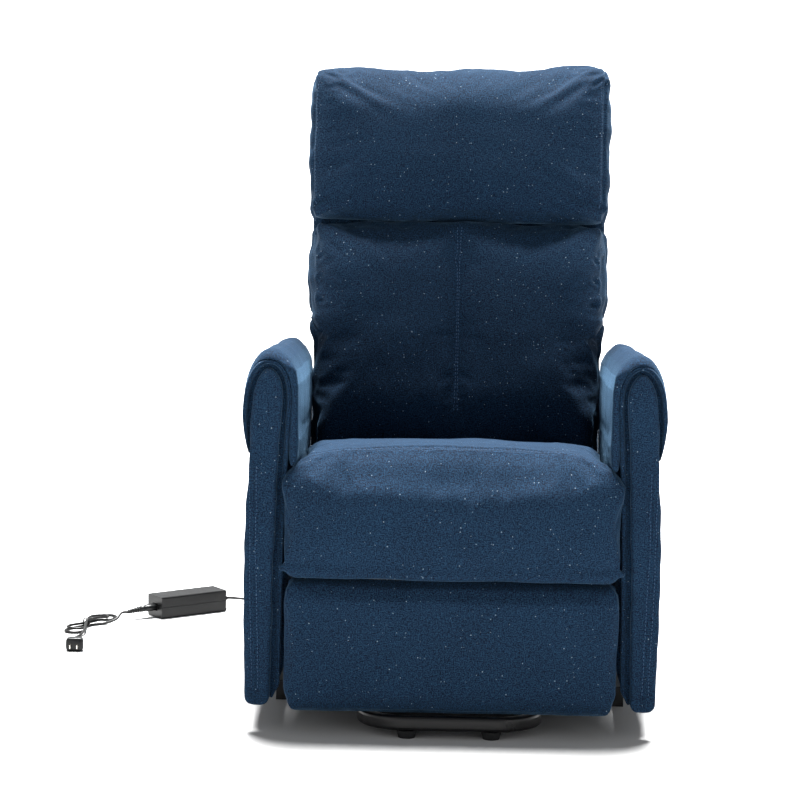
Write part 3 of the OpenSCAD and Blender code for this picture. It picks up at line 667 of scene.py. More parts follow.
def moulding(name, start, way, sections, sides=24, square=2.0):
    """A moulding along way from start. sections are (distance, half width, half height, rise)."""
    across = Vector((-way.y, way.x, 0)).normalized()
    rings = []
    for along, wide, high, rise in sections:
        ring = []
        for a in turns(sides):
            c, h = math.cos(a), math.sin(a)
            cx = math.copysign(abs(c) ** (2 / square), c)
            hz = math.copysign(abs(h) ** (2 / square), h)
            ring.append(start + way * along + across * (wide * cx) + Vector((0, 0, high * hz + rise)))
        rings.append(ring)
    return outward(loft(name, rings))


def ribs(begin, end, r_begin, r_end, count, rise_begin=0.0, rise_end=0.0):
    """Sections of a strain relief: shrinking collars with narrow necks between them."""
    out = []
    for i in range(count):
        for part, neck in ((0.0, 1.0), (0.55, 1.0), (0.62, 0.74), (0.93, 0.74)):
            t = (i + part) / count
            r = (r_begin + (r_end - r_begin) * t) * neck
            out.append((begin + (end - begin) * t, r, r, rise_begin + (rise_end - rise_begin) * t))
    return out + [(end, r_end * 0.8, r_end * 0.8, rise_end)]


def lead_fittings():
    """The connector and strain relief on the adapter, and the plug, in more detail than the CAD's."""
    case_end = ADAPTER_MID - ADAPTER_LEN / 2 * ALONG + Vector((0, 0, CASE_MIDDLE_Z))
    connector = moulding(
        "mains_connector", case_end, -ALONG,
        [(-0.006, 0.0075, 0.0052, 0), (0.0, 0.0078, 0.0056, 0), (0.0012, 0.0088, 0.0066, 0),
         (0.016, 0.0090, 0.0068, -0.0004), (0.0205, 0.0080, 0.0062, -0.0006),
         (0.022, 0.0066, 0.0056, -0.0007), (0.0245, 0.0066, 0.0056, -0.0008),
         (0.0260, 0.0072, 0.0060, -0.0009), (0.0300, 0.0070, 0.0058, -0.0011)]
        + ribs(0.0315, CONNECTOR_LEN, 0.0056, 0.0035, 6, -0.0012, -0.0040), square=2.6)
    relief = moulding("adapter_strain_relief", case_end + ADAPTER_LEN * ALONG, ALONG,
                      [(-0.002, 0.0060, 0.0060, 0)] + ribs(0.0004, RELIEF_LEN, 0.0056, 0.0036, 4))
    face = PLUG_AT + Vector((0, 0, 0.0125))
    plug = moulding(
        "plug_moulding", face, Vector((0, 1, 0)),
        [(0.0, 0.0142, 0.0108, 0), (0.0008, 0.0154, 0.0120, 0), (0.0024, 0.0160, 0.0125, 0),
         (0.012, 0.0160, 0.0125, 0), (0.0128, 0.0152, 0.0118, 0), (0.0146, 0.0152, 0.0118, 0),
         (0.0154, 0.0158, 0.0123, 0), (0.020, 0.0146, 0.0112, 0.0004), (0.0225, 0.0100, 0.0088, 0.0010)]
        + ribs(0.0240, 0.047, 0.0074, 0.0040, 4, 0.0012, 0.0015), sides=36, square=5.0)
    pieces = ((connector, "ac_connector"), (relief, "adapter_relief"), (plug, "plug_body"))
    for piece, node in pieces:
        paint(piece, PLASTIC)
        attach(piece, "base")
        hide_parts(node)
    return [piece for piece, _ in pieces]


def declare_lead(name, route, solids):
    """Makes one lead; solids are the CAD parts that it stands for."""
    points = catmull(route, 5)
    lead = lead_curve(name, points)
    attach(lead, "base")
    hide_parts(*solids)


tie = cord_tie()
paint(tie, PLASTIC)
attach(tie, "base")
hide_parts("cord_tie")
connector, relief, plug = lead_fittings()
declare_lead("low_voltage_lead", DC_ROUTE, ["dc_lead"])
declare_lead("mains_lead", mains_route(), ["ac_lead", "ac_hank", "ac_tail"])

bpy.context.view_layer.update()


# ---------- soft pieces: shared steps ----------

def copy_of(node, name):
    """The CAD solid of a soft part, as the form that its cloth is made over."""
    obj = link(bpy.data.objects.new(name, nodes[node].data.copy()))
    obj.data.materials.clear()
    return obj


def remesh(obj, voxel):
    mod = obj.modifiers.new("remesh", "REMESH")
    mod.mode = "VOXEL"
    mod.voxel_size = voxel
    mod.use_smooth_shade = True
    return apply_modifiers(obj)


def relax(obj, times):
    mod = obj.modifiers.new("smooth", "SMOOTH")
    mod.iterations = times
    mod.factor = 0.5
    return apply_modifiers(obj)


def subdivide(obj):
    mod = obj.modifiers.new("subdivide", "SUBSURF")
    mod.levels = 1
    mod.render_levels = 1
    return apply_modifiers(obj)


def shrink(obj, amount, keep=None):
    """Draws the surface in by amount, less where keep nears 1."""
    share = 1.0 if keep is None else (1.0 - keep)[:, None]
    set_co(obj, get_co(obj) - get_normals(obj) * amount * share)


CLOTH_STIFFNESS = 15.0
CLOTH_MASS = 0.3
CLOTH_BENDING = 0.6


def inflate(obj, cap, pinned, loose, pressure=3.0, frames=20):
    """Blows the form up as sewn cloth, by no more than cap. pinned is a weight per point, 1 at a seam."""
    start = get_co(obj)
    mod = obj.modifiers.new("cloth", "CLOTH")
    cloth = mod.settings
    cloth.quality = 5
    cloth.mass = CLOTH_MASS
    cloth.tension_stiffness = CLOTH_STIFFNESS
    cloth.compression_stiffness = CLOTH_STIFFNESS
    cloth.bending_stiffness = CLOTH_BENDING
    cloth.shrink_min = -loose
    cloth.use_pressure = True
    cloth.uniform_pressure_force = pressure
    cloth.effector_weights.gravity = 0
    group = obj.vertex_groups.new(name="seams")
    for i in np.nonzero(pinned > 0.02)[0]:
        group.add([int(i)], float(pinned[i]), "REPLACE")
    cloth.vertex_group_mass = "seams"
    cloth.pin_stiffness = 1.0
    mod.point_cache.frame_start, mod.point_cache.frame_end = 1, frames
    for f in range(1, frames + 1):
        scene.frame_set(f)
    graph = bpy.context.evaluated_depsgraph_get()
    blown = obj.evaluated_get(graph)
    end = np.zeros(len(start) * 3)
    blown.data.vertices.foreach_get("co", end)
    move = end.reshape(-1, 3) - start
    size = np.linalg.norm(move, axis=1, keepdims=True)
    move *= cap * np.tanh(size / cap) / np.maximum(size, 1e-9)
    obj.modifiers.clear()
    obj.vertex_groups.clear()
    scene.frame_set(1)
    set_co(obj, start + move)


def hold_out(obj, form, normals, least):
    """Keeps a form on firm foam from being drawn in by its cloth: no point is nearer in than least."""
    co = get_co(obj)
    outward_move = np.sum((co - form) * normals, axis=1)
    set_co(obj, co + normals * np.maximum(0, least - outward_move)[:, None])


def outline(co, axis, side, other, origin=0.0, where=None):
    """How far a form reaches on one side of axis, as a function of its other coordinate."""
    picked = np.ones(len(co), bool) if where is None else where
    reach = side * (co[picked, axis] - origin)
    along = co[picked, other]
    step = 0.010
    slots = np.arange(along.min(), along.max() + step, step)
    found = np.array([np.max(reach[np.abs(along - mid) < 0.9 * step], initial=-1) for mid in slots])
    slots, found = slots[found > -1], found[found > -1]
    return lambda x: np.interp(x, slots, found)


def fit_edge(co, axis, side, other, target, origin=0.0, where=None):
    """Stretches one side of a soft form so that its outline is target(other coordinate)."""
    picked = np.ones(len(co), bool) if where is None else where
    now = outline(co, axis, side, other, origin, where)(co[:, other])
    reach = side * (co[:, axis] - origin)
    share = np.clip(reach / np.maximum(now, 1e-6), 0, 1) ** 2
    change = (target(co[:, other]) - now) * share
    co[:, axis] += np.where(picked, side * change, 0)
    return co


def profile(*marks):
    """The broken line through (coordinate, value) marks, as a function."""
    at = np.array([m[0] for m in marks])
    value = np.array([m[1] for m in marks])
    return lambda x: np.interp(x, at, value)


def soft(obj, body, node, fill):
    """A cloth piece on its body. node is the CAD solid it stands for; fill is not used."""
    paint(obj, NAVY)
    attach(obj, body)
    if node:
        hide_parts(node)
    return obj


def trim(obj, body, material):
    """A small cloth or thread piece with no CAD solid of its own."""
    paint(obj, material)
    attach(obj, body)


# ---------- seat cushion ----------

seat_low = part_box("seat_cushion")[0]
SEAT_BODY_HALF = 0.268
LIP_HALF = 0.2845
LIP_REAR = -0.405
SEAT_SEAM_Y = -0.392
SEAT_VOXEL = 0.006


def make_seat():
    obj = copy_of("seat_cushion", "seat_cushion_cover")
    remesh(obj, SEAT_VOXEL)
    relax(obj, 6)
    co = get_co(obj)
    rise = outline(co, 2, 1, 1, origin=seat_low.z)
    lip = co[:, 1] < LIP_REAR + 0.010
    foot = np.where(lip, 1 - smoothstep(seat_low.z + 0.008, seat_low.z + 0.030, co[:, 2]), 0)
    shrink(obj, 0.007, keep=foot)
    top = (co[:, 2] > 0.44) & (np.abs(co[:, 1] - SEAT_SEAM_Y) < 0.012)
    pins = np.maximum(np.where(top, bump(co[:, 1] - SEAT_SEAM_Y, 0.005), 0), foot)
    inflate(obj, 0.016, pinned=pins, loose=0.008)
    relax(obj, 2)
    subdivide(obj)
    co = get_co(obj)
    lip = co[:, 1] < LIP_REAR + 0.004
    half = profile((0.262, 0.268), (0.268, 0.2745), (0.276, 0.2800), (0.284, 0.2780), (0.300, 0.2770),
                   (0.345, 0.2765), (0.390, 0.2785), (0.418, 0.2815), (0.432, 0.2830), (0.444, 0.2790),
                   (0.458, 0.2640), (0.490, 0.2300))
    crest = profile((0.0, 0.4825), (0.10, 0.4815), (0.18, 0.4775), (0.235, 0.4670), (0.262, 0.4550),
                    (0.284, 0.4370))
    for side in (-1, 1):
        co = fit_edge(co, 0, side, 2, half, where=lip)
    reach = np.abs(co[:, 0])
    panel = co[:, 1] > SEAT_SEAM_Y - 0.01
    co = fit_edge(co, 2, 1, 1, lambda y: rise(y) - 0.0110, origin=seat_low.z, where=panel)
    co = fit_edge(co, 2, 1, 0, lambda x: crest(np.abs(x)) - seat_low.z, origin=seat_low.z)
    lip_floor = profile((0.0, 0.2634), (0.255, 0.2636), (0.268, 0.2665), (0.280, 0.2730))
    co = fit_edge(co, 2, -1, 0, lambda x: 0.36 - lip_floor(np.abs(x)), origin=0.36, where=lip)
    set_co(obj, co)
    nrm = get_normals(obj)
    # The top seam runs along the crest; the panel behind it stands a little proud.
    on_top = smoothstep(0.425, 0.450, co[:, 2])
    across = np.abs(co[:, 1] - SEAT_SEAM_Y - 0.010 * (reach / 0.27) ** 2)
    push = -0.0042 * on_top * bump(across, 0.0034)
    push += 0.0009 * waves(co, 0.14, 3) + 0.0003 * waves(co, 0.040, 4)
    # Gathers where the lip's lower corners are folded under.
    for side in (-1, 1):
        corner = np.array([side * 0.277, -0.440, seat_low.z + 0.008])
        for inward, upward in ((0.036, 0.002), (0.030, 0.017), (0.020, 0.026)):
            tip = corner + np.array([-side * inward, -0.004, upward])
            d, t = segment_distance(co, corner, tip)
            push -= 0.0036 * bump(d, 0.0034) * (1 - 0.75 * t)
            d, t = segment_distance(co, corner + (0, 0, 0.008), tip + (0, 0, 0.008))
            push += 0.0024 * bump(d, 0.0045) * (1 - 0.6 * t)
    co += nrm * push[:, None]
    behind = co[:, 1] > LIP_REAR + 0.004
    limit = np.where(behind, SEAT_BODY_HALF + 0.0025, LIP_HALF)
    co[:, 0] = np.clip(co[:, 0], -limit, limit)
    co[:, 1] = np.maximum(co[:, 1], seat_low.y - 0.006)
    co[:, 2] = np.where(co[:, 1] < LIP_REAR, np.maximum(co[:, 2], seat_low.z - 0.0015), co[:, 2])
    set_co(obj, co)
    return soft(obj, "seat_frame", "seat_cushion", fill=0.8)


seat = make_seat()


# ---------- footrest pad, upholstered round its board ----------

rest_low, rest_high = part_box("footrest_pad")
BOARD_REAR = -0.406


def box_form(name, low, high):
    """A plain box to be joined into a cloth form before its remesh."""
    verts = [(x, y, z) for x in (low[0], high[0]) for y in (low[1], high[1]) for z in (low[2], high[2])]
    faces = [(0, 1, 3, 2), (4, 6, 7, 5), (0, 4, 5, 1), (2, 3, 7, 6), (0, 2, 6, 4), (1, 5, 7, 3)]
    return outward(mesh_object(name, verts, faces, smooth=False))


def make_footrest():
    pad = copy_of("footrest_pad", "footrest_cover")
    wrap = box_form("board_wrap", (-0.2655, rest_high.y - 0.012, 0.0485),
                    (0.2655, BOARD_REAR + 0.003, 0.2595))
    obj = join("footrest_cover", [pad, wrap])
    remesh(obj, 0.005)
    relax(obj, 4)
    co = get_co(obj)
    back = smoothstep(rest_high.y - 0.010, rest_high.y, co[:, 1])
    shrink(obj, 0.004, keep=back)
    inflate(obj, 0.006, pinned=back, loose=0.006, frames=16)
    relax(obj, 1)
    subdivide(obj)
    co = get_co(obj)
    front = co[:, 1] < rest_high.y
    half = profile((0.036, 0.255), (0.041, 0.266), (0.051, 0.2735), (0.080, 0.2760), (0.150, 0.2750),
                   (0.225, 0.2765), (0.250, 0.2745), (0.259, 0.268), (0.264, 0.255))
    middle = 0.152
    for side in (-1, 1):
        co = fit_edge(co, 0, side, 2, half, where=front)
    for side, flat, corner in ((1, 0.2625, 0.250), (-1, 0.0375, 0.052)):
        flat, corner = side * (flat - middle), side * (corner - middle)
        edge = profile((-0.276, corner), (-0.262, flat), (0.262, flat), (0.276, corner))
        co = fit_edge(co, 2, side, 0, edge, origin=middle, where=front)
    set_co(obj, co)
    nrm = get_normals(obj)
    faced = smoothstep(0.3, 0.8, -nrm[:, 1])
    push = 0.0008 * waves(co, 0.14, 11) + 0.0003 * waves(co, 0.04, 12)
    push -= 0.0016 * (1 - faced) * bump(co[:, 1] - (rest_high.y - 0.004), 0.0022)
    co += nrm * push[:, None]
    co[:, 1] = np.clip(co[:, 1], rest_low.y - 0.003, BOARD_REAR + 0.0035)
    co[:, 2] = np.minimum(co[:, 2], 0.2630)
    set_co(obj, co)
    return soft(obj, "footrest", "footrest_pad", fill=0.8)


make_footrest()


# ---------- backrest, in the leaning back's own axes ----------

HINGE = np.array([0, 0.215, 0.345])
LEAN = math.radians(14)
BACK_UP = np.array([0, math.sin(LEAN), math.cos(LEAN)])
BACK_REAR = np.array([0, math.cos(LEAN), -math.sin(LEAN)])


def to_back(co):
    d = np.asarray(co) - HINGE
    return np.stack([d[..., 0], d @ BACK_REAR, d @ BACK_UP], axis=-1)


def from_back(co):
    co = np.asarray(co)
    return (HINGE + co[..., 0:1] * np.array([1.0, 0, 0]) + co[..., 1:2] * BACK_REAR
            + co[..., 2:3] * BACK_UP)


def turned_back(normals):
    """Directions, as against places, in the leaning back's axes."""
    return np.stack([normals[:, 0], normals @ BACK_REAR, normals @ BACK_UP], axis=-1)


FRONT_Y = -0.145
REAR_Y = -0.025
LOWER_TOP = 0.439
HEAD_LOW, HEAD_TOP = 0.441, 0.727
COVER_Y = 0.028
LOWER_HALF = profile((0.0, 0.2580), (0.05, 0.2610), (0.20, 0.2615), (0.225, 0.2640), (0.255, 0.2695),
                     (0.300, 0.2735), (0.380, 0.2745), (0.420, 0.2715), (0.434, 0.2660), (0.440, 0.2600))
HEAD_HALF = profile((0.438, 0.2620), (0.448, 0.2690), (0.470, 0.2740), (0.540, 0.2765), (0.640, 0.2750),
                    (0.700, 0.2745), (0.718, 0.2725), (0.729, 0.2660))


def round_ends(local, half, run, depth):
    """Pulls a cushion's front face back towards its two sides."""
    edge = smoothstep(half - run, half, np.abs(local[:, 0]))
    front = smoothstep(REAR_Y, FRONT_Y, local[:, 1])
    local[:, 1] += depth * edge ** 2 * front
    return local


def creases(co, nrm, marks):
    """Narrow folds: (start, end, width, depth) each, deepest at the start."""
    push = np.zeros(len(co))
    for a, b, width, depth in marks:
        d, t = segment_distance(co, a, b)
        push -= depth * bump(d, width) * (1 - 0.8 * t)
        push += 0.5 * depth * bump(d - 1.9 * width, width) * (1 - 0.8 * t)
    return co + nrm * push[:, None]


def blown_cushion(node, name, half, shape, low, high, cap, seams, crown=None):
    """A back cushion: start form, cloth, then its outline. seams gives the pins from local places."""
    obj = copy_of(node, name)
    remesh(obj, 0.0056)
    local = to_back(get_co(obj))
    for start in np.arange(FRONT_Y - 0.002, REAR_Y, 0.012):
        slab = (local[:, 1] >= start) & (local[:, 1] < start + 0.012)
        for side in (-1, 1):
            local = fit_edge(local, 0, side, 2, lambda z: shape(z) - 0.002, where=slab)
    set_co(obj, from_back(round_ends(local, half, 0.06, 0.030)))
    relax(obj, 8)
    local = to_back(get_co(obj))
    rear = smoothstep(REAR_Y - 0.030, REAR_Y - 0.014, local[:, 1])
    shrink(obj, 0.008, keep=rear)
    inflate(obj, cap, pressure=4.0, pinned=np.maximum(rear, seams(local)), loose=0.010)
    relax(obj, 3)
    subdivide(obj)
    local = to_back(get_co(obj))
    for side in (-1, 1):
        wobble = (lambda z, s=side: shape(z) + 0.0012 * np.sin(z * 61 + s) + 0.0008 * np.sin(z * 143 + 2 * s))
        local = fit_edge(local, 0, side, 2, wobble)
    middle = (low + high) / 2
    corner = 0.010
    fall = (lambda x: corner * smoothstep(half - 0.020, half + 0.004, np.abs(x)))
    crown = crown or (lambda x: 0.0012 * np.sin(x * 37) + 0.0009 * np.sin(x * 71 + 1) - fall(x))
    local = fit_edge(local, 2, 1, 0, lambda x: high - middle + crown(x), origin=middle)
    local = fit_edge(local, 2, -1, 0, lambda x: middle - low - fall(x), origin=middle)
    set_co(obj, from_back(local))
    return obj


def make_head():
    def seams(local):
        return 0.9 * bump(np.abs(np.abs(local[:, 0]) - 0.262), 0.005) * (local[:, 1] < -0.06)

    crown = profile((-0.274, -0.016), (-0.266, -0.0105), (-0.250, -0.0080), (-0.187, -0.0055),
                    (-0.116, -0.0020), (-0.053, -0.0035), (0.010, 0.0020), (0.034, 0.0032), (0.105, 0.0020),
                    (0.168, 0.0055), (0.223, 0.0072), (0.246, 0.0055), (0.262, 0.0015), (0.272, -0.0060))
    obj = blown_cushion("head_cushion", "head_cushion_cover", 0.275, HEAD_HALF, HEAD_LOW - 0.0005,
                        HEAD_TOP + 0.001, 0.018, seams, crown)
    local, nrm = to_back(get_co(obj)), turned_back(get_normals(obj))
    front = smoothstep(-0.055, -0.085, local[:, 1])
    seam_x = np.where(local[:, 0] > 0, 0.2615, -0.2675)
    push = -0.0032 * front * bump(local[:, 0] - seam_x, 0.0026)
    push += 0.0013 * waves(local, 0.17, 21) + 0.0003 * waves(local, 0.05, 22)
    local += nrm * push[:, None]
    marks = []
    for side in (-1, 1):
        corner = np.array([side * 0.264, -0.108, HEAD_TOP - 0.018])
        marks += [(corner, corner + (-side * 0.024, -0.018, -0.020), 0.0038, 0.0075),
                  (corner + (side * 0.006, 0.008, -0.010), corner + (side * 0.003, -0.010, -0.060),
                   0.0034, 0.0050)]
        foot = np.array([side * 0.264, -0.108, HEAD_LOW + 0.022])
        marks += [(foot, foot + (-side * 0.026, -0.014, 0.018), 0.0040, 0.0060)]
    local = creases(local, nrm, marks)
    local[:, 2] = np.clip(local[:, 2], HEAD_LOW - 0.001, HEAD_TOP + 0.012)
    local[:, 1] = np.clip(local[:, 1], FRONT_Y - 0.012, REAR_Y)
    set_co(obj, from_back(local))
    return soft(obj, "backrest", "head_cushion", fill=0.6)


def make_lower_back():
    def seams(local):
        return 0.85 * bump(local[:, 0], 0.004) * (local[:, 1] < -0.09)

    obj = blown_cushion("back_cushion", "back_cushion_cover", 0.272, LOWER_HALF, 0.016, LOWER_TOP,
                        0.016, seams)
    local, nrm = to_back(get_co(obj)), turned_back(get_normals(obj))
    front = smoothstep(-0.08, -0.11, local[:, 1])
    push = -0.0022 * front * bump(local[:, 0] - 0.0016, 0.0012)
    push -= 0.0012 * front * bump(local[:, 0] + 0.0050, 0.0012)
    push += 0.0014 * waves(local, 0.18, 31) + 0.0003 * waves(local, 0.05, 32)
    local += nrm * push[:, None]
    marks = []
    for side, strong in ((-1, 0.55), (1, 1.0)):
        top = np.array([side * 0.258, -0.118, LOWER_TOP - 0.022])
        marks += [(top, top + (-side * 0.020, -0.012, -0.020), 0.0044, 0.0050 * strong)]
        tuck = np.array([side * 0.262, -0.112, 0.292])
        marks += [(tuck, tuck + (-side * 0.050, -0.016, -0.006), 0.0050, 0.0085 * strong),
                  (tuck + (-side * 0.004, 0, 0.036), tuck + (-side * 0.042, -0.014, 0.052),
                   0.0046, 0.0050 * strong),
                  (tuck + (0, 0, 0.070), tuck + (-side * 0.036, -0.014, 0.084), 0.0046, 0.0035 * strong)]
    local = creases(local, nrm, marks)
    limit = LOWER_HALF(local[:, 2]) + 0.002
    local[:, 0] = np.clip(local[:, 0], -limit, limit)
    local[:, 2] = np.minimum(local[:, 2], LOWER_TOP + 0.001)
    local[:, 1] = np.clip(local[:, 1], FRONT_Y - 0.010, REAR_Y)
    set_co(obj, from_back(local))
    return soft(obj, "backrest", "back_cushion", fill=0.6)


head = make_head()
lower_back = make_lower_back()


def make_cushion_join():
    """The strip of cloth that ties the two back cushions together, deep in the gap between them."""
    rings = []
    for x in np.linspace(-0.2615, 0.2615, 44):
        sway = 0.0012 * math.sin(x * 29)
        section = [(-0.064, 0.416), (-0.060, 0.414), (-0.0585, 0.428), (-0.0605, 0.440), (-0.0585, 0.452),
                   (-0.060, 0.466), (-0.064, 0.464), (-0.0655, 0.440)]
        rings.append([tuple(from_back(np.array([x, y + sway, z]))) for y, z in section])
    trim(outward(loft("back_cushion_join", rings)), "backrest", NAVY)


make_cushion_join()

COVER_OUTLINE = rounded([(-0.244, 0.150), (-0.246, 0.284), (-0.266, 0.292), (-0.267, 0.723), (0.267, 0.723),
                         (0.266, 0.292), (0.246, 0.284), (0.244, 0.150)],
                        [0.002, 0.008, 0.010, 0.018, 0.018, 0.010, 0.008, 0.002], 5)


def make_side_wrap():
    """The cloth round the edge of the back's frame, from the cushions to the rear cover."""
    loop = resample(COVER_OUTLINE, 0.008)
    centre = np.array([0, 0.43])
    rings = []
    section = [(-0.036, -0.0100), (-0.033, -0.0030), (-0.026, 0.0006), (-0.020, 0.0010), (-0.0165, -0.0012),
               (-0.0130, 0.0010), (-0.004, 0.0010), (0.004, 0.0004), (0.010, -0.0040), (0.010, -0.0065),
               (-0.004, -0.0022), (-0.0165, -0.0042), (-0.024, -0.0022), (-0.034, -0.0120)]
    for i, (x, z) in enumerate(loop):
        a, b = loop[max(i - 1, 0)], loop[min(i + 1, len(loop) - 1)]
        t = np.array([b[0] - a[0], b[1] - a[1]])
        t /= np.linalg.norm(t)
        n = np.array([-t[1], t[0]])
        if np.dot(n, np.array([x, z]) - centre) < 0:
            n = -n
        sag = 0.0004 * math.sin(i * 0.7)
        rings.append([tuple(from_back(np.array([x + n[0] * (out + sag), y, z + n[1] * (out + sag)])))
                      for y, out in section])
    trim(outward(loft("back_side_wrap", rings)), "backrest", NAVY)


def outline_distance(co, outline):
    """Distance outside a closed outline in a plane, negative inside. co has two columns."""
    p = np.array(outline)
    q = np.roll(p, -1, axis=0)
    best = np.full(len(co), 1e9)
    inside = np.zeros(len(co), bool)
    for a, b in zip(p, q):
        best = np.minimum(best, segment_distance(co, a, b)[0])
        if a[1] != b[1]:
            crosses = (co[:, 1] > min(a[1], b[1])) & (co[:, 1] <= max(a[1], b[1]))
            x = a[0] + (co[:, 1] - a[1]) / (b[1] - a[1]) * (b[0] - a[0])
            inside ^= crosses & (co[:, 0] < x)
    return np.where(inside, -best, best)


def make_rear_cover():
    obj = copy_of("rear_cover", "back_outside_cover")
    remesh(obj, 0.0065)
    relax(obj, 4)
    local = to_back(get_co(obj))
    flat = 1 - smoothstep(0.004, 0.012, local[:, 1])
    shrink(obj, 0.005, keep=flat)
    inflate(obj, 0.006, pinned=flat, loose=0.004, frames=14)
    relax(obj, 1)
    subdivide(obj)
    local, nrm = to_back(get_co(obj)), turned_back(get_normals(obj))
    rear = smoothstep(0.5, 0.9, nrm[:, 1])
    edge = [(-0.225, 0.050), (0.225, 0.050), (0.246, 0.310), (0.246, 0.702), (-0.246, 0.702), (-0.246, 0.310)]
    border = outline_distance(local[:, [0, 2]], edge)
    push = -0.0022 * rear * bump(border, 0.0022)
    push -= 0.0020 * rear * bump(local[:, 2] - 0.300, 0.0020) * (border < 0)
    push += 0.0010 * waves(local, 0.16, 71) + 0.0003 * waves(local, 0.05, 72)
    local += nrm * push[:, None]
    local[:, 1] = np.clip(local[:, 1], 0.0, COVER_Y + 0.001)
    set_co(obj, from_back(local))
    return soft(obj, "backrest", "rear_cover", fill=0.5)


make_side_wrap()
rear_cover = make_rear_cover()


# ---------- arms, made for the sitter's left and mirrored ----------

ARM_FRONT = -0.428
ARM_FALL = math.tan(math.radians(6))
FACING_FRONT = -0.430
CORE_FRONT = -0.405
ARM_BACK = 0.330
PAD_BACK = 0.312
ARM_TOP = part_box("arm_pad_left")[1].z + 0.005
FACING_OUTLINE = rounded(
    [(0.300, 0.052), (0.340, 0.052), (0.344, 0.230), (0.337, 0.473), (0.329, 0.586), (0.305, 0.617),
     (0.283, 0.586), (0.295, 0.370)],
    [0.014, 0.014, 0.060, 0.060, 0.034, 0.020, 0.034, 0.060], 7)
PAD_OUTLINE = rounded(
    [(0.3340, 0.484), (0.3378, 0.4655), (0.3455, 0.500), (0.350, 0.548), (0.3415, 0.608),
     (0.319, ARM_TOP - 0.004), (0.290, ARM_TOP - 0.001), (0.2635, ARM_TOP - 0.022), (0.2550, 0.575),
     (0.2555, 0.480), (0.259, 0.448), (0.2712, 0.445), (0.276, 0.503), (0.329, 0.505)],
    [0.004, 0.004, 0.020, 0.040, 0.028, 0.026, 0.026, 0.030, 0.040, 0.014, 0.005, 0.004, 0.006, 0.006], 6)


def arm_drop(y):
    return ARM_FALL * (y - ARM_FRONT)


def pad_taper(y):
    """How far the pad's inner side stands back towards the rear, to make room for the backrest."""
    return 0.0070 * smoothstep(-0.38, 0.10, np.asarray(y, float))


def loop_normals(loop):
    """Outward unit normals of a closed outline in its own plane."""
    p = np.array(loop)
    d = np.roll(p, -1, axis=0) - np.roll(p, 1, axis=0)
    n = np.stack([d[:, 1], -d[:, 0]], axis=1)
    n /= np.linalg.norm(n, axis=1, keepdims=True)
    area = 0.5 * np.sum(p[:, 0] * np.roll(p[:, 1], -1) - np.roll(p[:, 0], -1) * p[:, 1])
    return n if area > 0 else -n


FACING_LINES = (-0.0045, 0.0, 0.0065)


def make_facing():
    obj = copy_of("facing_left", "arm_facing_left")
    remesh(obj, 0.0032)
    relax(obj, 6)
    shrink(obj, 0.0025)
    co = get_co(obj)
    pins = np.where(co[:, 1] > CORE_FRONT - 0.006, 1.0, 0.0)
    normals = get_normals(obj)
    inflate(obj, 0.005, pinned=pins, loose=0.01, frames=14)
    hold_out(obj, co, normals, 0.0036)
    subdivide(obj)
    co, nrm = get_co(obj), get_normals(obj)
    faced = smoothstep(0.6, 0.9, -nrm[:, 1])
    low_part = 1 - smoothstep(0.40, 0.50, co[:, 2])
    middle = 0.3205 + 0.006 * smoothstep(0.06, 0.35, co[:, 2])
    push = 0.0006 * waves(co, 0.05, 41) + 0.0009 * waves(co, 0.16, 42)
    for offset, depth in zip(FACING_LINES, (0.0016, 0.0019, 0.0015)):
        push -= depth * faced * low_part * bump(co[:, 0] - middle - offset, 0.0013)
    co += nrm * push[:, None]
    co[:, 1] = np.clip(co[:, 1], FACING_FRONT - 0.0035, CORE_FRONT - 0.0055)
    co[:, 2] -= 0.0055 * (1 - smoothstep(0.050, 0.130, co[:, 2])) + 0.003 * smoothstep(0.56, 0.615, co[:, 2])
    set_co(obj, co)
    return obj


BAND_FLOOR = -0.4145
BAND_WIDE = 0.0165


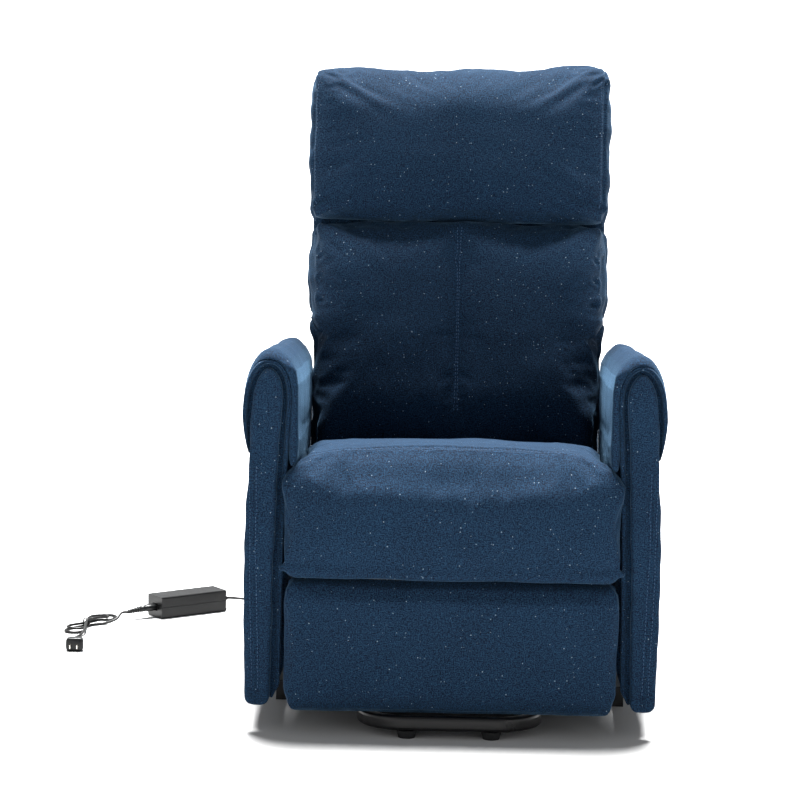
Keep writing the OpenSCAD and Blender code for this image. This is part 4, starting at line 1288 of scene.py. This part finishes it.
def make_pad():
    loop = np.array(resample(PAD_OUTLINE, 0.007, closed=True))
    n = loop_normals(loop)
    outer = smoothstep(0.330, 0.344, loop[:, 0]) * (1 - smoothstep(0.58, 0.63, loop[:, 1]))
    inner = 1 - smoothstep(0.260, 0.275, loop[:, 0])
    under = (loop[:, 1] < 0.507) & (loop[:, 0] > 0.264) & (loop[:, 0] < 0.338)
    inset = np.where(under, 0.003, 0.024 - 0.020 * outer - 0.022 * inner)
    shift = 1 - smoothstep(0.262, 0.300, loop[:, 0])
    foot = (1 - smoothstep(0.446, 0.490, loop[:, 1])) * (loop[:, 0] < 0.275)

    def ring(y, share):
        flat = loop - n * (inset * share)[:, None]
        # Further back the inner edge reaches further down, to the side of the seat.
        flat[:, 1] -= 0.034 * foot * float(smoothstep(-0.34, -0.05, np.float64(y)))
        return [(x + pad_taper(y) * k, y, z - arm_drop(y)) for (x, z), k in zip(flat, shift)]

    roll = 0.036
    rings = [ring(ARM_FRONT + roll * (1 - math.cos(a)), 1 - math.sin(a))
             for a in np.linspace(0, math.pi / 2, 9)]
    rings += [ring(y, 0) for y in np.linspace(ARM_FRONT + 0.06, PAD_BACK - 0.04, 9)]
    rings += [ring(PAD_BACK - 0.016 * (1 - math.sin(a)), 0.7 * (1 - math.cos(a)))
              for a in np.linspace(0, math.pi / 2, 5)]
    front_first = sorted(rings, key=lambda r: r[0][1])
    obj = outward(loft("arm_pad_cover_left", front_first))
    remesh(obj, 0.0048)
    relax(obj, 4)
    shrink(obj, 0.003)
    co = get_co(obj)
    a = outline_distance(co[:, [0, 2]], FACING_OUTLINE)
    pins = np.where((co[:, 1] < ARM_FRONT + 0.012) & (a < 0.020), 1.0, 0.0)
    pins = np.where(co[:, 2] < 0.500 - arm_drop(co[:, 1]), np.maximum(pins, 0.7), pins)
    normals = get_normals(obj)
    inflate(obj, 0.006, pinned=pins, loose=0.004, frames=16)
    hold_out(obj, co, normals, 0.0032)
    relax(obj, 2)
    subdivide(obj)
    co = get_co(obj)
    level = np.stack([co[:, 0] * 0, co[:, 0] * 0, arm_drop(co[:, 1])], axis=1)
    level[:, 0] = -pad_taper(co[:, 1]) * (1 - smoothstep(0.262, 0.300, co[:, 0]))
    inside = profile((0.405, 0.2640), (0.415, 0.2580), (0.450, 0.2560), (0.520, 0.2530), (0.585, 0.2530),
                     (0.608, 0.2560), (0.628, 0.2660), (0.650, 0.2900))
    middle = 0.305
    co = fit_edge(co + level, 0, -1, 2, lambda z: middle - inside(z), origin=middle) - level
    set_co(obj, co)
    nrm = get_normals(obj)
    a = outline_distance(co[:, [0, 2]], FACING_OUTLINE)
    near = 1 - smoothstep(-0.420, -0.400, co[:, 1])
    push = 0.0002 * waves(co, 0.045, 51) + 0.0010 * waves(co, 0.20, 52)
    co += nrm * (push * (1 - near * 0.7))[:, None]
    carve = (1 - smoothstep(0.0135, 0.0175, a)) * near
    co[:, 1] = np.maximum(co[:, 1], ARM_FRONT - 0.003)
    sunk = np.maximum(co[:, 1], BAND_FLOOR + 0.004)
    co[:, 1] = np.where(near > 0, co[:, 1] * (1 - carve) + sunk * carve, co[:, 1])
    set_co(obj, co)
    return obj


PAD_SIDE = profile((0.462, 0.3372), (0.470, 0.3392), (0.480, 0.3422), (0.500, 0.3460), (0.520, 0.3483),
                   (0.545, 0.3498), (0.580, 0.3510))


def make_band():
    """Front border: a recessed strip round the facing, with a double-stitched rolled edge."""
    loop = resample(FACING_OUTLINE, 0.004, closed=True)
    points = np.array(loop)
    n = loop_normals(loop)
    count = len(points)
    start = int(np.argmin(np.hypot(points[:, 0] - 0.338, points[:, 1] - 0.466)))
    end = int(np.argmin(np.hypot(points[:, 0] - 0.300, points[:, 1] - 0.058)))
    order, i = [], start
    turn = 1 if points[(start + 3) % count][1] > points[start][1] else -1
    while i != end:
        order.append(i)
        i = (i + turn) % count
    order.append(end)
    section = [(-0.004, 0.006), (-0.003, 0.0), (0.002, -0.0003), (0.0065, 0.0), (0.0084, -0.0030),
               (0.0095, -0.0086), (0.0107, -0.0106), (0.0119, -0.0106), (0.0130, -0.0088),
               (0.0141, -0.0106), (0.0153, -0.0108), (0.0163, -0.0086), (0.0170, -0.0030),
               (0.0172, 0.0060)]
    core = [(0.2724, 0.440), (0.2724, 0.150), (0.277, 0.104), (0.285, 0.078), (0.297, 0.056)]
    rings = []
    for i in order:
        (x, z), (nx, nz) = points[i], n[i]
        room = BAND_WIDE
        if z < 0.16 and nx < 0:
            edge = np.interp(z, [c[1] for c in core[::-1]], [c[0] for c in core[::-1]])
            room = max(0.0008, min(BAND_WIDE, x - edge + 0.001))
        if nx > 0.5 and z < 0.575:
            room = max(0.0008, min(BAND_WIDE, PAD_SIDE(z) - x))
        scale = room / BAND_WIDE
        sag = 0.0004 * math.sin(i * 0.37) + 0.0003 * math.sin(i * 0.91 + 1)
        rise = min(1.0, scale * 1.4)
        # Beside the seat the border's edge is flatter than round the pad.
        lower = 1 - 0.55 * float(1 - smoothstep(0.40, 0.50, z)) * (1 if nx < 0 else 0)
        ring = []
        for a, up in section:
            across = a * scale if a > 0 else a
            y = BAND_FLOOR + (up * rise * lower if up < 0 else up) + sag
            ring.append((x + nx * across, y, z + nz * across))
        rings.append(ring)
    return subdivide(outward(loft("arm_border_left", rings)))


def make_core():
    obj = copy_of("arm_core_left", "arm_panel_left")
    remesh(obj, 0.006)
    co = get_co(obj)
    co[:, 2] = np.minimum(co[:, 2], 0.497 - arm_drop(co[:, 1]))
    set_co(obj, co)
    relax(obj, 5)
    shrink(obj, 0.003)
    co = get_co(obj)
    top = co[:, 2] > 0.470 - arm_drop(co[:, 1])
    inflate(obj, 0.0045, pinned=np.where(top, 1.0, 0.0), loose=0.008, frames=12)
    subdivide(obj)
    co, nrm = get_co(obj), get_normals(obj)
    out = smoothstep(0.7, 0.95, nrm[:, 0])
    push = 0.0009 * waves(co, 0.17, 61) + 0.0003 * waves(co, 0.04, 62)
    push -= 0.0022 * out * bump(co[:, 1] - (CORE_FRONT + 0.022), 0.0026)
    push -= 0.0022 * out * bump(co[:, 1] - (ARM_BACK - 0.030), 0.0026)
    hem = 0.076 + 0.016 * smoothstep(CORE_FRONT, ARM_BACK, co[:, 1])
    push -= 0.0018 * out * bump(co[:, 2] - hem, 0.0024)
    co += nrm * push[:, None]
    co[:, 0] = np.clip(co[:, 0], 0.2712, 0.3390)
    co[:, 1] = np.maximum(co[:, 1], CORE_FRONT - 0.0015)
    set_co(obj, co)
    return obj


def both_sides(left, node, fill):
    """Finishes a piece made for the sitter's left, and its mirror image for the right."""
    right = mirrored(left, left.name.replace("_left", "_right"))
    for piece, side in ((left, "left"), (right, "right")):
        soft(piece, "seat_frame", f"{node}_{side}" if node else None, fill=fill)
    return left, right


facings = both_sides(make_facing(), "facing", 0.7)
both_sides(make_pad(), "arm_pad", 0.7)
both_sides(make_band(), None, None)
both_sides(make_core(), "arm_core", 0.9)


# ---------- side pockets and the panel under the back ----------

POCKET_X = 0.3372
POCKET_DEEP = 0.0224
pocket_low, pocket_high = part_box("side_pocket_left")


def make_pocket():
    """A cloth pouch with an elastic hem, open at its top and sewn to the arm at its sides."""
    across = np.linspace(-1, 1, 41)
    middle, half = (pocket_low.y + pocket_high.y) / 2, (pocket_high.y - pocket_low.y) / 2
    belly = (1 - np.abs(across) ** 5) ** 0.4
    levels = [(0.0002, 0.20, 0.0016), (0.0025, 0.50, 0.0022), (0.0075, 0.78, 0.0024), (0.0165, 0.94, 0.0024)]
    tall = pocket_high.z - pocket_low.z
    levels += [(z, 1.0, 0.0022) for z in np.linspace(0.03, tall - 0.016, 9)]
    levels += [(tall - 0.0125, 0.995, 0.0022), (tall - 0.0115, 1.0, 0.0034), (tall - 0.004, 1.0, 0.0036),
               (tall - 0.0012, 0.985, 0.0030), (tall - 0.0001, 0.965, 0.0016)]
    rings = []
    for z, share, thick in levels:
        hem = smoothstep(tall - 0.060, tall, z)
        gather = 0.0007 * hem * np.sin(across * 34) + 0.0009 * np.sin(across * 5 + z * 30) * (1 - hem)
        out = POCKET_X + (POCKET_DEEP * share) * belly + gather * belly
        y = middle + half * across
        inner_y = middle + (half - thick) * across
        ring = [(x, v, pocket_low.z + z) for x, v in zip(out, y)]
        ring += [(max(x - thick, POCKET_X - 0.0006), v, pocket_low.z + z)
                 for x, v in list(zip(out, inner_y))[::-1]]
        rings.append(ring)
    return outward(loft("pocket_left", rings))


both_sides(make_pocket(), "side_pocket", None)


def around(low_x, high_x, low_z, high_z):
    """The corners of a rectangle in the x, z plane, with the first one again at the end."""
    return [(low_x, low_z), (high_x, low_z), (high_x, high_z), (low_x, high_z), (low_x, low_z)]


def make_apron():
    low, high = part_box("rear_apron")
    obj = box_form("rear_apron_cloth", low, high)
    remesh(obj, 0.0060)
    relax(obj, 2)
    co = get_co(obj)
    push = np.zeros(len(co))
    hem = 0.016
    border = outline_distance(co[:, [0, 2]],
                              around(low.x + hem, high.x - hem, low.z + hem, high.z - hem)[:-1])
    rear = smoothstep(high.y - 0.004, high.y - 0.001, co[:, 1])
    push -= 0.0014 * rear * bump(border, 0.0025)
    push -= 0.0010 * rear * bump(np.abs(co[:, 0]) - 0.090, 0.0025) * (border < 0)
    push += 0.0009 * waves(co, 0.15, 81) - 0.0009
    co += get_normals(obj) * push[:, None]
    set_co(obj, co)
    subdivide(obj)
    return soft(obj, "seat_frame", "rear_apron", fill=0.3)


apron = make_apron()


# ---------- stitching along the seams ----------

def sew(name, piece, body, paths):
    """Rows of stitches on a piece, joined into one."""
    tree = surface_of(piece)
    rows = [stitches(f"{name}_{i}", tree, path) for i, path in enumerate(paths)]
    trim(join(name, rows), body, THREAD)


def back_line(x, low, high, y=-0.130):
    return [tuple(from_back(np.array([x, y, z]))) for z in np.linspace(low, high, 12)]


APRON_REAR = 0.3305
sew("seat_stitches", seat, "seat_frame",
    [[(x, SEAT_SEAM_Y - 0.0062 + 0.010 * (x / 0.27) ** 2, 0.482 - 0.03 * (abs(x) / 0.25) ** 4)
      for x in np.linspace(-0.245, 0.245, 21)]])
sew("head_stitches", head, "backrest",
    [back_line(0.2560, HEAD_LOW + 0.024, HEAD_TOP - 0.026, -0.118),
     back_line(-0.2620, HEAD_LOW + 0.024, HEAD_TOP - 0.026, -0.112)])
sew("back_stitches", lower_back, "backrest",
    [back_line(0.0052, 0.09, LOWER_TOP - 0.012), back_line(-0.0022, 0.09, LOWER_TOP - 0.012)])
sew("cover_stitches", rear_cover, "backrest",
    [[tuple(from_back(np.array([x, COVER_Y, z]))) for x, z in around(-0.241, 0.241, 0.310, 0.697)]])
sew("apron_stitches", apron, "seat_frame",
    [[(x, APRON_REAR, z) for x, z in around(-0.250, 0.250, 0.112, 0.325)]])
for facing, side, way in zip(facings, ("left", "right"), (1, -1)):
    sew(f"facing_stitches_{side}", facing, "seat_frame",
        [[(way * (0.3227 + offset + 0.006 * float(smoothstep(0.06, 0.35, z))), FACING_FRONT, z)
          for z in np.linspace(0.075, 0.450, 16)] for offset in (FACING_LINES[0], FACING_LINES[2])])


# ---------- ending ----------

SUN_POWER = 24.0
SUN_ANGLE = math.radians(24)
SUN_TILT = math.radians(-16)
FRONT_POWER = 12


SKY_COLOUR = (0.97, 0.985, 1.0, 1)
SKY_FADE = (0.14, 0.42, 1.02, 0.38)


def studio():
    """A pale floor, a sky and three lamps. SKY_FADE is two heights of the sky and its strength at each."""
    wide = 120.0
    floor = mesh_object("floor", [(-wide, -wide, 0), (wide, -wide, 0), (wide, wide, 0), (-wide, wide, 0)],
                        [(0, 1, 2, 3)], smooth=False)
    n = Nodes("studio_paper")
    n.set(Base_Color=n.mix(n.noise(n.place, 3, 2.0), (0.44, 0.44, 0.44, 1), (0.45, 0.45, 0.45, 1)),
          Roughness=0.95, Normal=n.bump(n.noise(n.place, 300, 2.0), 0.0002, 0.15), Specular_IOR_Level=0.1)
    paint(floor, n.material)
    # Bright round the horizon, dimmer overhead, so that the floor and the top light do most.
    world = bpy.data.worlds.new("studio")
    world.use_nodes = True
    tree = world.node_tree
    coord = tree.nodes.new("ShaderNodeTexCoord")
    split = tree.nodes.new("ShaderNodeSeparateXYZ")
    fade = tree.nodes.new("ShaderNodeMapRange")
    for socket, value in zip(fade.inputs[1:5], SKY_FADE):
        socket.default_value = value
    tree.links.new(coord.outputs["Generated"], split.inputs[0])
    tree.links.new(split.outputs[2], fade.inputs[0])
    tree.links.new(fade.outputs[0], tree.nodes["Background"].inputs[1])
    tree.nodes["Background"].inputs[0].default_value = SKY_COLOUR
    scene.world = world

    def lamp(name, place, target, size, power):
        data = bpy.data.lights.new(name, "AREA")
        data.shape = "RECTANGLE"
        data.size, data.size_y = size
        data.energy = power
        obj = link(bpy.data.objects.new(name, data))
        obj.location = place
        obj.rotation_euler = (Vector(target) - Vector(place)).to_track_quat("-Z", "Y").to_euler()

    data = bpy.data.lights.new("top_soft", "SUN")
    data.energy = SUN_POWER
    data.angle = SUN_ANGLE
    top = link(bpy.data.objects.new("top_soft", data))
    top.rotation_euler = (SUN_TILT, 0, 0)
    for name, x in (("front_left", -2.6), ("front_right", 2.6)):
        lamp(name, (x, -3.6, 1.5), (0, 0, 0.5), (1.6, 2.2), FRONT_POWER)
    scene.view_settings.view_transform = "Standard"


studio()
